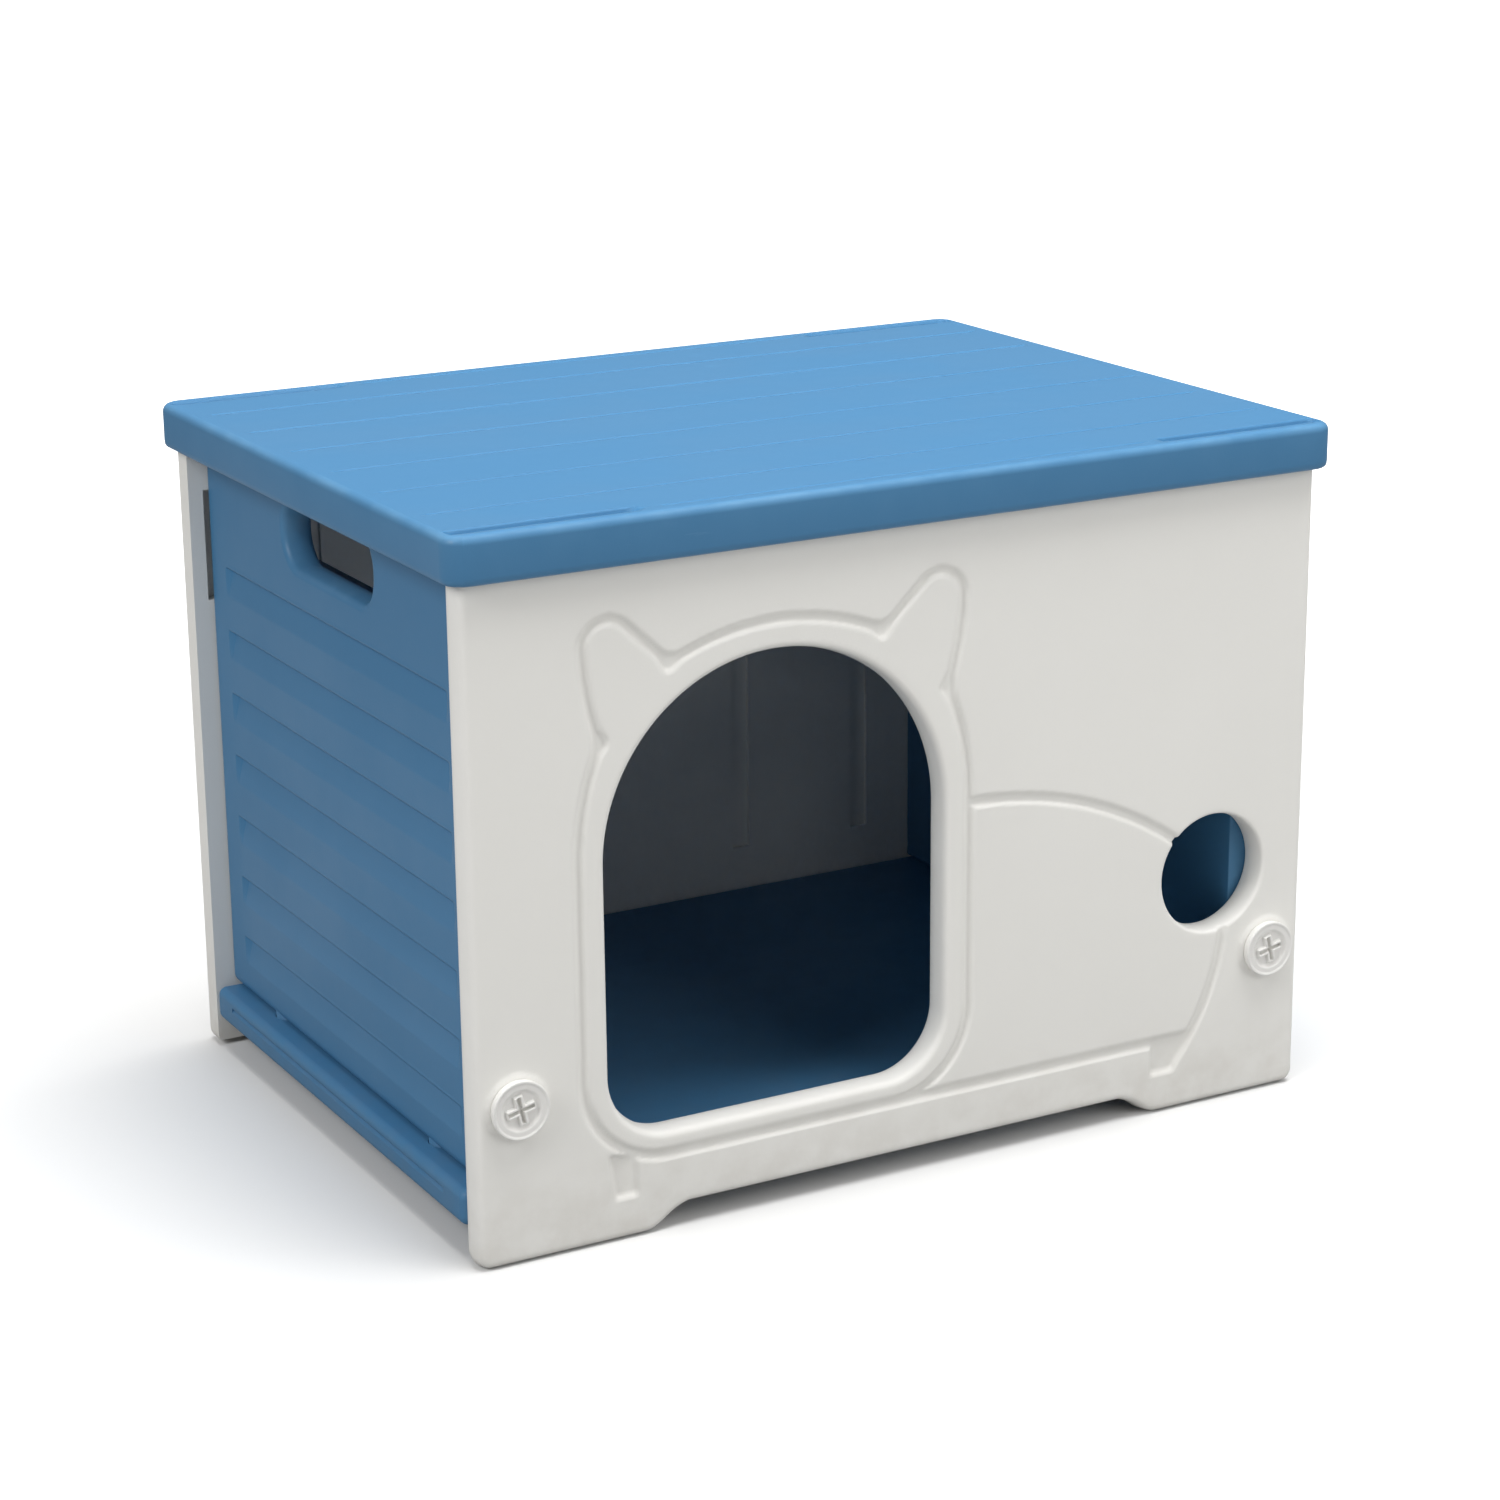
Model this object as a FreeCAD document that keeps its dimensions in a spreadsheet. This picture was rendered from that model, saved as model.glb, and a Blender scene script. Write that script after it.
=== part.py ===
import FreeCAD, Part
import math
import os
from functools import lru_cache

import Sketcher
from FreeCAD import Placement, Rotation, Vector

# A flat-pack pet house of blow-moulded plastic panels. Front and back panels stand on their own feet,
# two clapboard side panels stand between them on a floor panel, a lid drops over the top, and four
# large plastic screws draw the front and back panels onto the ends of the side panels.
# Frame: origin at the middle of the footprint on the ground, +X to the right seen from the front,
# -Y to the front, +Z up. Millimetres.

# ---------------------------------------------------------------- driving dimensions
# name, value, what it measures
DIMENSIONS = [
    ("panel_width", 600.0, "front and back panel, left to right"),
    ("house_depth", 446.0, "outer face of the front panel to outer face of the back panel"),
    ("house_height", 448.8, "ground to the top of the lid"),
    ("panel_thick", 20.0, "front and back panel wall"),
    ("panel_round", 5.0, "rounding of the panels' long edges"),
    ("panel_corner", 9.0, "rounding of the panels' bottom corners"),
    ("fit_gap", 0.3, "clearance wherever two panels meet face to face"),
    ("foot_inner", 161.0, "middle to where the foot's slope starts"),
    ("foot_outer", 185.0, "middle to where the foot reaches the ground"),
    ("foot_rise", 14.0, "height of the gap between the feet"),
    ("foot_bend", 11.0, "rounding where the slope meets the foot and the gap"),
    ("foot_thick", 9.5, "thickness of the foot's tread, from the outer face"),
    ("tread_step", 4.0, "height of the step behind the tread"),
    ("door_middle", -94.0, "x of the doorway's middle"),
    ("door_radius", 116.0, "half width of the doorway and radius of its arch"),
    ("door_spring", 237.0, "height of the arch's centre"),
    ("door_sill", 65.0, "height of the doorway's bottom edge"),
    ("door_corner", 40.0, "rounding of the doorway's bottom corners"),
    ("rim_round", 4.0, "rounding of the doorway's and tail hole's rims"),
    ("tail_middle", 228.0, "x of the tail hole"),
    ("tail_height", 159.3, "height of the tail hole"),
    ("tail_radius", 38.6, "tail hole between its rims"),
    ("groove_wide", 10.0, "width of the cat outline's groove"),
    ("groove_deep", 2.5, "depth of the cat outline's groove"),
    ("head_offset", 18.5, "doorway edge to the head outline"),
    ("head_chin", 50.0, "height of the head outline's lower edge"),
    ("chin_corner", 56.0, "rounding of the head outline's lower corners"),
    ("ear_reach", 113.0, "doorway's middle to the centre of the ear tip's arc"),
    ("ear_height", 373.0, "height of the centre of the ear tip's arc"),
    ("ear_round", 17.0, "radius of the ear tip"),
    ("ear_low_turn", 35.0, "where the ear's outer edge leaves the head's circle, degrees"),
    ("ear_high_turn", 59.0, "where the ear's inner edge leaves the head's circle, degrees"),
    ("tip_low_turn", 6.0, "where the ear tip's arc meets the outer edge, degrees"),
    ("ear_bow", 3.0, "bow of the ear's outer edge"),
    ("back_turn", 138.0, "where the cat's back meets the tail hole, degrees"),
    ("back_bow", 13.5, "bow of the cat's back"),
    ("rump_turn", -76.0, "where the cat's rump leaves the tail hole, degrees"),
    ("rump_bow", 8.0, "bow of the cat's rump"),
    ("leg_low", 28.0, "height of the legs' lower ends"),
    ("fore_outer", -207.5, "x of the fore leg's outer edge"),
    ("fore_inner", -193.7, "x of the fore leg's inner edge"),
    ("hind_inner", 182.5, "x of the hind leg's inner edge"),
    ("hind_outer", 197.0, "x of the hind leg's outer edge, at its lower end"),
    ("hind_lean", 12.0, "how far the hind leg's outer edge leans out at the belly"),
    ("boss_radius", 21.5, "raised boss round each screw"),
    ("boss_tall", 3.0, "height of the boss"),
    ("boss_round", 2.7, "rounding of the boss's edge"),
    ("side_inset", 13.0, "panel edge to the outer face of the side panel"),
    ("side_thick", 30.0, "side panel wall"),
    ("side_toe", 8.0, "rounding of the side panel's bottom edge"),
    ("board_count", 7.0, "clapboard steps on a side panel"),
    ("board_pitch", 43.0, "height of one clapboard"),
    ("board_top", 345.0, "height of the top clapboard's edge"),
    ("board_deep", 5.5, "depth of the recess under a clapboard's edge"),
    ("board_fade", 19.0, "height over which the recess runs out"),
    ("board_margin", 29.0, "end of the side panel to the end of its clapboards"),
    ("grip_long", 138.0, "hand slot, front to back"),
    ("grip_low", 371.0, "height of the hand slot's lower edge"),
    ("grip_high", 413.0, "height of the hand slot's upper edge"),
    ("grip_corner", 20.0, "rounding of the hand slot's corners"),
    ("grip_rim", 6.0, "rounding of the hand slot's rims"),
    ("tongue_low", 317.0, "height of the bottom of the pocket for the side panel's tongue"),
    ("tongue_high", 392.0, "height of the top of that pocket"),
    ("tongue_thick", 22.0, "tongue on the end of a side panel"),
    ("tongue_long", 9.0, "reach of the tongue into the front or back panel"),
    ("pocket_slack", 7.0, "how much wider the pocket is than the tongue, each way"),
    ("floor_low", 21.4, "height of the floor panel's underside"),
    ("floor_top", 44.4, "height of the floor panel's upper face"),
    ("floor_corner", 6.0, "rounding of the floor panel's upright corners"),
    ("floor_round", 5.4, "rounding of the floor panel's long edges"),
    ("rail_wide", 4.0, "width of the line along the floor panel's side"),
    ("rail_deep", 1.2, "depth of the line along the floor panel's side"),
    ("tab_wide", 60.0, "floor tab held in the front or back panel"),
    ("tab_thick", 11.0, "thickness of a floor tab"),
    ("tab_reach", 150.0, "middle to the centre of a floor tab"),
    ("tab_long", 9.0, "reach of a floor tab into the panel"),
    ("peg_radius", 11.0, "round peg under a side panel"),
    ("peg_gap", 0.6, "radial clearance of a peg in the floor"),
    ("peg_long", 10.0, "reach of a peg into the floor"),
    ("peg_inset", 12.0, "outer face of the side panel to the middle of a peg"),
    ("peg_spread", 125.0, "middle to a peg, front to back"),
    ("screw_height", 100.5, "height of the screws"),
    ("head_radius", 18.5, "screw head"),
    ("head_thick", 5.0, "thickness of the screw head"),
    ("head_rim", 1.6, "width of the raised rim of the head"),
    ("head_sink", 0.5, "drop of the head's flat ring below its rim"),
    ("dish_radius", 13.0, "radius of the dish in the head"),
    ("dish_deep", 2.2, "depth of the dish"),
    ("cross_long", 11.0, "centre of the head to the end of the ribs"),
    ("cross_reach", 10.4, "centre of the head to the end of the driver slot"),
    ("cross_slot", 2.4, "width of the driver slot"),
    ("cross_rib", 2.1, "width of the ribs along the driver slot"),
    ("cross_deep", 4.0, "depth of the driver slot"),
    ("cross_tilt", 13.0, "turn of the cross, degrees"),
    ("shank_radius", 8.5, "outside radius of the screw's thread"),
    ("core_radius", 7.0, "radius of the screw's core"),
    ("neck_long", 19.0, "outer face of the panel to the end of the plain neck"),
    ("thread_start", 18.0, "outer face of the panel to the start of the thread"),
    ("thread_pitch", 5.0, "advance of the thread in one turn"),
    ("thread_turns", 4.0, "turns of thread"),
    ("thread_root", 2.8, "width of the thread's tooth at its root"),
    ("thread_crest", 0.8, "width of the thread's tooth at its crest"),
    ("thread_sink", 0.3, "how far the tooth's root sits inside the core"),
    ("shank_long", 44.0, "outer face of the panel to the tip of the screw"),
    ("tip_bevel", 2.0, "bevel at the screw's tip"),
    ("shank_gap", 0.1, "radial clearance round the thread in the side panel"),
    ("hole_gap", 0.6, "radial clearance round the screw in the front or back panel"),
    ("lid_side", 8.0, "overhang of the lid past the panels' ends"),
    ("lid_front", 9.6, "overhang of the lid past the front and back panels"),
    ("lid_tall", 29.6, "lid, skirt to top"),
    ("lid_deck", 12.0, "thickness of the lid above the panels"),
    ("lid_corner", 14.0, "rounding of the lid's corners in plan"),
    ("lid_round", 8.0, "rounding of the lid's top edge"),
    ("lid_hem", 4.0, "rounding of the lid's bottom edge"),
    ("lid_gap", 0.5, "clearance between the lid and the walls"),
    ("plug_drop", 12.0, "how far the lid's middle reaches down inside the walls"),
    ("lid_line_count", 6.0, "shallow lines along the lid's top"),
    ("lid_line_pitch", 67.5, "distance between those lines"),
    ("lid_line_end", 291.0, "middle to the end of a line"),
    ("lid_line_wide", 5.0, "width of a line"),
    ("lid_line_deep", 1.5, "depth of a line"),
    ("stack_slack", 1.25, "clearance of a foot in the lid's stacking slot, each way"),
    ("stack_inner", 182.0, "middle to the inner end of a stacking slot"),
    ("stack_outer", 304.0, "middle to the outer end of a stacking slot"),
    ("stack_deep", 3.5, "depth of a stacking slot"),
    ("flute_inner", 114.0, "middle to the inner stiffening flutes of the back panel"),
    ("flute_outer", 215.0, "middle to the outer stiffening flutes of the back panel"),
    ("flute_low", 75.0, "height of a flute's lower end"),
    ("flute_high", 375.0, "height of a flute's upper end"),
    ("flute_radius", 7.0, "half width of a flute"),
    ("flute_deep", 3.0, "depth of a flute"),
]

# Heights and places that more than one piece uses, as expressions on the sheet.
LID_LOW = "Sizes.house_height - Sizes.lid_tall"
WALL_TOP = "Sizes.house_height - Sizes.lid_deck"
OUTER_FACE = "Sizes.house_depth / 2"
INNER_FACE = "Sizes.house_depth / 2 - Sizes.panel_thick"
WALL_END = "Sizes.house_depth / 2 - Sizes.panel_thick - Sizes.fit_gap"
SIDE_OUTER = "Sizes.panel_width / 2 - Sizes.side_inset"
SIDE_INNER = "Sizes.panel_width / 2 - Sizes.side_inset - Sizes.side_thick"
SIDE_MIDDLE = "Sizes.panel_width / 2 - Sizes.side_inset - Sizes.side_thick / 2"
PEG_PLACE = "Sizes.panel_width / 2 - Sizes.side_inset - Sizes.peg_inset"
FLOOR_MIDDLE = "(Sizes.floor_top + Sizes.floor_low) / 2"

# How close two places must be, in millimetres, to count as one.
NEAR = 0.05


def make_sheet(doc):
    """The sheet of driving dimensions: one row each, a plain number with an alias."""
    sheet = doc.addObject("Spreadsheet::Sheet", "Sizes")
    for row, (name, number, note) in enumerate(DIMENSIONS, start=1):
        sheet.set("A%d" % row, name)
        sheet.set("B%d" % row, str(number))
        sheet.set("C%d" % row, note)
        sheet.setAlias("B%d" % row, name)
    doc.recompute()
    return sheet


DOC = FreeCAD.newDocument("PetHouse")
make_sheet(DOC)
WORKINGS = DOC.addObject("Spreadsheet::Sheet", "Workings")


@lru_cache(maxsize=None)
def size(formula):
    """The number that a sheet expression, or a bare alias, stands for."""
    if formula.isidentifier():
        formula = "Sizes." + formula
    WORKINGS.set("A1", "=" + formula)
    WORKINGS.recompute()
    return float(WORKINGS.get("A1"))


# ---------------------------------------------------------------- sketch and feature helpers
def origin_feature(body, role):
    """One of the body's own origin planes or axes."""
    return next(item for item in body.Origin.OriginFeatures if item.Role == role)


def new_sketch(body, name, plane, offset="0"):
    """A sketch on an origin plane of the body, moved along the plane's normal by offset."""
    sketch = body.newObject("Sketcher::SketchObject", name)
    sketch.AttachmentSupport = [(origin_feature(body, plane), "")]
    sketch.MapMode = "FlatFace"
    sketch.setExpression("AttachmentOffset.Base.z", offset)
    return sketch


def pin_point(sketch, geometry, point, across, up):
    """Tie one sketch point to the sheet, by its two distances from the sketch's origin."""
    for kind, formula, axis in (("DistanceX", across, -2), ("DistanceY", up, -1)):
        if abs(size(formula)) < NEAR:
            sketch.addConstraint(Sketcher.Constraint("PointOnObject", geometry, point, axis))
            continue
        index = sketch.addConstraint(
            Sketcher.Constraint(kind, -1, 1, geometry, point, size(formula)))
        sketch.setExpression("Constraints[%d]" % index, formula)


def polygon(sketch, corners):
    """A closed outline of straight lines; every corner is a pair of expressions."""
    places = [Vector(size(across), size(up), 0) for across, up in corners]
    count = len(corners)
    first = sketch.GeometryCount
    for index in range(count):
        line = Part.LineSegment(places[index], places[(index + 1) % count])
        sketch.addGeometry(line, False)
    for index in range(count):
        following = first + (index + 1) % count
        sketch.addConstraint(Sketcher.Constraint("Coincident", first + index, 2, following, 1))
        pin_point(sketch, first + index, 1, *corners[index])


def rectangle(sketch, left, right, low, high):
    """A rectangle between four expressions."""
    polygon(sketch, [(left, low), (right, low), (right, high), (left, high)])


def circle(sketch, across, up, radius):
    """A circle with its centre and radius tied to the sheet."""
    centre = Vector(size(across), size(up), 0)
    index = sketch.addGeometry(Part.Circle(centre, Vector(0, 0, 1), size(radius)), False)
    pin_point(sketch, index, 3, across, up)
    limit = sketch.addConstraint(Sketcher.Constraint("Radius", index, size(radius)))
    sketch.setExpression("Constraints[%d]" % limit, radius)


def stadium(sketch, left, right, middle, half):
    """A slot with round ends: two lines along X joined by two half circles."""
    x0, x1, y, r = size(left), size(right), size(middle), size(half)
    quarter = math.pi / 2
    up = Vector(0, 0, 1)
    round_left = Part.ArcOfCircle(
        Part.Circle(Vector(x0 + r, y, 0), up, r), quarter, 3 * quarter)
    round_right = Part.ArcOfCircle(
        Part.Circle(Vector(x1 - r, y, 0), up, r), -quarter, quarter)
    first = sketch.addGeometry(round_left, False)
    low = sketch.addGeometry(Part.LineSegment(Vector(x0 + r, y - r, 0), Vector(x1 - r, y - r, 0)))
    last = sketch.addGeometry(round_right, False)
    high = sketch.addGeometry(Part.LineSegment(Vector(x1 - r, y + r, 0), Vector(x0 + r, y + r, 0)))
    for one, one_end, two, two_end in (
            (first, 2, low, 1), (low, 2, last, 1), (last, 2, high, 1), (high, 2, first, 1)):
        sketch.addConstraint(Sketcher.Constraint("Tangent", one, one_end, two, two_end))
    limit = sketch.addConstraint(Sketcher.Constraint("Radius", first, r))
    sketch.setExpression("Constraints[%d]" % limit, half)
    pin_point(sketch, first, 3, "%s + %s" % (left, half), middle)
    pin_point(sketch, last, 3, "%s - (%s)" % (right, half), middle)


def extrude(body, kind, name, sketch, length, flip=False, both_ways=False):
    """A Pad or a Pocket of a sketch; a Pocket that cuts nothing stops the build."""
    before = body.Shape.Volume if body.Tip else 0.0
    feature = body.newObject("PartDesign::" + kind, name)
    feature.Profile = sketch
    feature.setExpression("Length", length)
    feature.Reversed = flip
    feature.Midplane = both_ways
    DOC.recompute()
    changed = feature.Shape.Volume - before
    wanted = 1 if kind == "Pad" else -1
    if changed * wanted < 1.0:
        raise ValueError("%s changes the volume by %.1f" % (name, changed))
    return feature


def round_edges(body, name, radius, wanted):
    """Round every edge of the body's tip for which wanted(edge) is true."""
    base = body.Tip
    names = ["Edge%d" % (index + 1)
             for index, edge in enumerate(base.Shape.Edges) if wanted(edge)]
    if not names:
        raise ValueError(name + " finds no edge")
    fillet = body.newObject("PartDesign::Fillet", name)
    fillet.Base = (base, names)
    fillet.setExpression("Radius", radius)
    DOC.recompute()
    if "Invalid" in fillet.State:
        raise ValueError("%s fails on %d edges" % (name, len(names)))
    return fillet


def bounds(edge):
    return edge.BoundBox


def lies_at(low, high, place):
    """Whether a stretch from low to high is all at one place."""
    return abs(low - place) < NEAR and abs(high - place) < NEAR


# ---------------------------------------------------------------- front and back panels
def panel_blank(name):
    """The panel both ends share: a plate on two feet, seen from outside at the front."""
    body = DOC.addObject("PartDesign::Body", name)
    half = "Sizes.panel_width / 2"
    outline = new_sketch(body, name + "_outline", "XZ_Plane", OUTER_FACE)
    right = [("Sizes.foot_inner", "Sizes.foot_rise"), ("Sizes.foot_outer", "0"), (half, "0"),
             (half, WALL_TOP)]
    left = [("-(%s)" % across, up) for across, up in reversed(right)]
    polygon(outline, right + left)
    extrude(body, "Pad", name + "_plate", outline, "Sizes.panel_thick", flip=True)

    def slope_edge(edge):
        box = bounds(edge)
        at_foot = abs(abs(box.XMin) - size("foot_outer")) < NEAR and box.ZMax < NEAR
        at_gap = abs(abs(box.XMin) - size("foot_inner")) < NEAR
        return box.YLength > size("panel_thick") - NEAR and (at_foot or at_gap)

    def bottom_corner(edge):
        box = bounds(edge)
        at_end = abs(abs(box.XMin) - size("panel_width") / 2) < NEAR
        return box.YLength > size("panel_thick") - NEAR and at_end and box.ZMax < NEAR

    round_edges(body, name + "_slopes", "Sizes.foot_bend", slope_edge)
    round_edges(body, name + "_corners", "Sizes.panel_corner", bottom_corner)

    boss = new_sketch(body, name + "_bosses", "XZ_Plane", OUTER_FACE)
    for sign in ("", "-"):
        circle(boss, "%s(%s)" % (sign, SIDE_MIDDLE), "Sizes.screw_height", "Sizes.boss_radius")
    extrude(body, "Pad", name + "_boss", boss, "Sizes.boss_tall")

    def boss_edge(edge):
        return lies_at(bounds(edge).YMin, bounds(edge).YMax,
                       -size("house_depth") / 2 - size("boss_tall"))

    round_edges(body, name + "_boss_round", "Sizes.boss_round", boss_edge)

    def outer_rim(edge):
        box = bounds(edge)
        on_face = lies_at(box.YMin, box.YMax, -size("house_depth") / 2)
        on_boss = box.ZMin > size("foot_rise") + NEAR and box.ZMax < size(WALL_TOP) - NEAR
        return on_face and not on_boss and box.ZMin < size(WALL_TOP) - NEAR

    round_edges(body, name + "_outer_rim", "Sizes.panel_round", outer_rim)
    return body


def panel_sockets(body, name):
    """What holds the side panels and the floor: pockets in the inner face, screw holes, treads."""
    inner = "(%s)" % INNER_FACE
    for side in (1, -1):
        tag = "_right" if side > 0 else "_left"
        centre = "%d * (%s)" % (side, SIDE_MIDDLE)
        reach = "Sizes.tongue_thick / 2 + Sizes.pocket_slack"
        pocket = new_sketch(body, name + "_pocket" + tag, "XZ_Plane", inner)
        rectangle(pocket, "%s - (%s)" % (centre, reach), "%s + %s" % (centre, reach),
                  "Sizes.tongue_low", "Sizes.tongue_high")
        extrude(body, "Pocket", name + "_tongue_pocket" + tag, pocket,
                "Sizes.tongue_long + Sizes.fit_gap", flip=True)

        tab = new_sketch(body, name + "_tab" + tag, "XZ_Plane", inner)
        half_wide = "Sizes.tab_wide / 2 + Sizes.fit_gap"
        half_thick = "Sizes.tab_thick / 2"
        rectangle(tab, "%d * Sizes.tab_reach - (%s)" % (side, half_wide),
                  "%d * Sizes.tab_reach + %s" % (side, half_wide),
                  "%s - %s" % (FLOOR_MIDDLE, half_thick), "%s + %s" % (FLOOR_MIDDLE, half_thick))
        extrude(body, "Pocket", name + "_tab_pocket" + tag, tab,
                "Sizes.tab_long + Sizes.fit_gap", flip=True)

        tread = new_sketch(body, name + "_tread" + tag, "XZ_Plane", inner)
        ends = ["%d * (Sizes.foot_inner - Sizes.foot_bend)" % side,
                "%d * Sizes.panel_width" % side]
        if side < 0:
            ends.reverse()
        rectangle(tread, ends[0], ends[1], "-Sizes.tread_step", "Sizes.tread_step")
        extrude(body, "Pocket", name + "_tread_step" + tag, tread,
                "Sizes.panel_thick - Sizes.foot_thick", flip=True)

    hole = new_sketch(body, name + "_holes", "XZ_Plane", OUTER_FACE + " + Sizes.boss_tall")
    for sign in ("", "-"):
        circle(hole, "%s(%s)" % (sign, SIDE_MIDDLE), "Sizes.screw_height",
               "Sizes.shank_radius + Sizes.hole_gap")
    extrude(body, "Pocket", name + "_screw_holes", hole, "Sizes.panel_thick + Sizes.boss_tall")


def front_openings(body):
    """The arched doorway and the tail hole, with rounded rims on both faces."""
    door = new_sketch(body, "doorway", "XZ_Plane", OUTER_FACE)
    rectangle(door, "Sizes.door_middle - Sizes.door_radius", "Sizes.door_middle + Sizes.door_radius",
              "Sizes.door_sill", "Sizes.door_spring")
    extrude(body, "Pocket", "doorway_lower", door, "Sizes.panel_thick")
    arch = new_sketch(body, "arch", "XZ_Plane", OUTER_FACE)
    circle(arch, "Sizes.door_middle", "Sizes.door_spring", "Sizes.door_radius")
    extrude(body, "Pocket", "doorway_arch", arch, "Sizes.panel_thick")
    tail = new_sketch(body, "tail", "XZ_Plane", OUTER_FACE)
    circle(tail, "Sizes.tail_middle", "Sizes.tail_height", "Sizes.tail_radius")
    extrude(body, "Pocket", "tail_hole", tail, "Sizes.panel_thick")

    def sill_corner(edge):
        box = bounds(edge)
        return box.YLength > size("panel_thick") - NEAR and lies_at(box.ZMin, box.ZMax,
                                                                    size("door_sill"))

    round_edges(body, "sill_corners", "Sizes.door_corner", sill_corner)

    def opening_rim(edge):
        box = bounds(edge)
        on_face = any(lies_at(box.YMin, box.YMax, place)
                      for place in (-size(OUTER_FACE), -size(INNER_FACE)))
        reach = size("door_radius") + NEAR
        in_door = abs(box.Center.x - size("door_middle")) < reach
        in_door = in_door and box.ZMin > size("door_sill") - NEAR
        in_door = in_door and box.ZMax < size("door_spring") + reach
        middle = Vector(size("tail_middle"), box.Center.y, size("tail_height"))
        in_tail = (box.Center - middle).Length < size("tail_radius") / 2
        in_tail = in_tail and box.XLength < 2 * size("tail_radius") + NEAR
        return on_face and (in_door or in_tail)

    round_edges(body, "opening_rims", "Sizes.rim_round", opening_rim)


def bar(edge, radius):
    """A round bar along a line or an arc."""
    start = edge.valueAt(edge.FirstParameter)
    along = edge.tangentAt(edge.FirstParameter)
    section = Part.Face(Part.Wire(Part.makeCircle(radius, start, along)))
    if isinstance(edge.Curve, Part.Circle):
        turn = math.degrees(edge.LastParameter - edge.FirstParameter)
        return section.revolve(edge.Curve.Center, edge.Curve.Axis, turn)
    return section.extrude(edge.valueAt(edge.LastParameter) - start)


def bars_along(edges, radius):
    """A round bar along every edge, and one ball wherever bars meet or end."""
    ends = []
    for edge in edges:
        for value in (edge.FirstParameter, edge.LastParameter):
            place = edge.valueAt(value)
            if all((place - other).Length > NEAR for other in ends):
                ends.append(place)
    return [bar(edge, radius) for edge in edges] + [Part.makeSphere(radius, place) for place in ends]


def on_circle(centre, reach, degrees):
    """A point on an upright circle, degrees anticlockwise from +X."""
    turn = math.radians(degrees)
    return centre + Vector(math.cos(turn), 0, math.sin(turn)) * reach


def arc_on(centre, reach, start, finish):
    """An upright arc round a centre between two angles."""
    places = [on_circle(centre, reach, turn) for turn in (start, (start + finish) / 2, finish)]
    return Part.Arc(*places).toShape()


def touching_turn(centre, reach, place):
    """The angle at which a straight line from a place beyond a circle touches it."""
    away = place - centre
    turn = math.atan2(away.z, away.x) % math.tau - math.acos(reach / away.Length)
    return math.degrees(turn)


def bowed(start, finish, bow):
    """An upright arc between two points, bowed out to the left of the way it runs."""
    along = (finish - start).normalize()
    middle = (start + finish) / 2 + Vector(-along.z, 0, along.x) * bow
    return Part.Arc(start, middle, finish).toShape()


def head_outline():
    """The right half of the head's centre line, from chin to crown, with x from the doorway's middle."""
    radius = size("door_radius") + size("head_offset")
    chin = size("head_chin")
    corner = size("chin_corner")
    cheek = Vector(radius, 0, size("door_spring"))
    jaw = Vector(radius - corner, 0, chin + corner)
    head = Vector(0, 0, size("door_spring"))
    ear = Vector(size("ear_reach"), 0, size("ear_height"))
    low_notch = on_circle(head, radius, size("ear_low_turn"))
    high_notch = on_circle(head, radius, size("ear_high_turn"))
    tip = size("ear_round")
    inner_turn = touching_turn(ear, tip, high_notch)
    return [
        Part.makeLine(Vector(0, 0, chin), Vector(jaw.x, 0, chin)),
        arc_on(jaw, corner, -90, 0),
        Part.makeLine(Vector(radius, 0, jaw.z), cheek),
        arc_on(head, radius, 0, size("ear_low_turn")),
        bowed(on_circle(ear, tip, size("tip_low_turn")), low_notch, size("ear_bow")),
        arc_on(ear, tip, size("tip_low_turn"), inner_turn),
        Part.makeLine(on_circle(ear, tip, inner_turn), high_notch),
        arc_on(head, radius, size("ear_high_turn"), 90),
    ]


def body_outline():
    """The centre line of the cat's back, rump and belly."""
    middle = size("door_middle")
    radius = size("door_radius") + size("head_offset")
    tail = Vector(size("tail_middle"), 0, size("tail_height"))
    cheek = Vector(middle + radius, 0, size("door_spring"))
    shoulder = on_circle(tail, size("tail_radius"), size("back_turn"))
    rump = on_circle(tail, size("tail_radius"), size("rump_turn"))
    heel = Vector(size("hind_outer"), 0, size("leg_low"))
    chin = size("head_chin")
    return [
        bowed(cheek, shoulder, size("back_bow")),
        bowed(rump, heel, size("rump_bow")),
        Part.makeLine(Vector(middle + radius - size("chin_corner"), 0, chin),
                      Vector(size("hind_outer"), 0, chin)),
    ]


def carried(edge, across, flip):
    """An outline edge carried sideways to its place, mirrored left to right first if flip is -1."""
    first, last = edge.FirstParameter, edge.LastParameter
    places = [edge.valueAt(value) for value in (first, (first + last) / 2, last)]
    places = [Vector(across + flip * place.x, 0, place.z) for place in places]
    if isinstance(edge.Curve, Part.Circle):
        return Part.Arc(*places).toShape()
    return Part.makeLine(places[0], places[2])


def leg(low_outer, low_inner, high_inner, high_outer):
    """A shallow leg cut from the front face between four corners, each an x and a height."""
    corners = [Vector(across, -size(OUTER_FACE), up)
               for across, up in (low_outer, low_inner, high_inner, high_outer, low_outer)]
    return Part.Face(Part.makePolygon(corners)).extrude(Vector(0, size("groove_deep"), 0))


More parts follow.
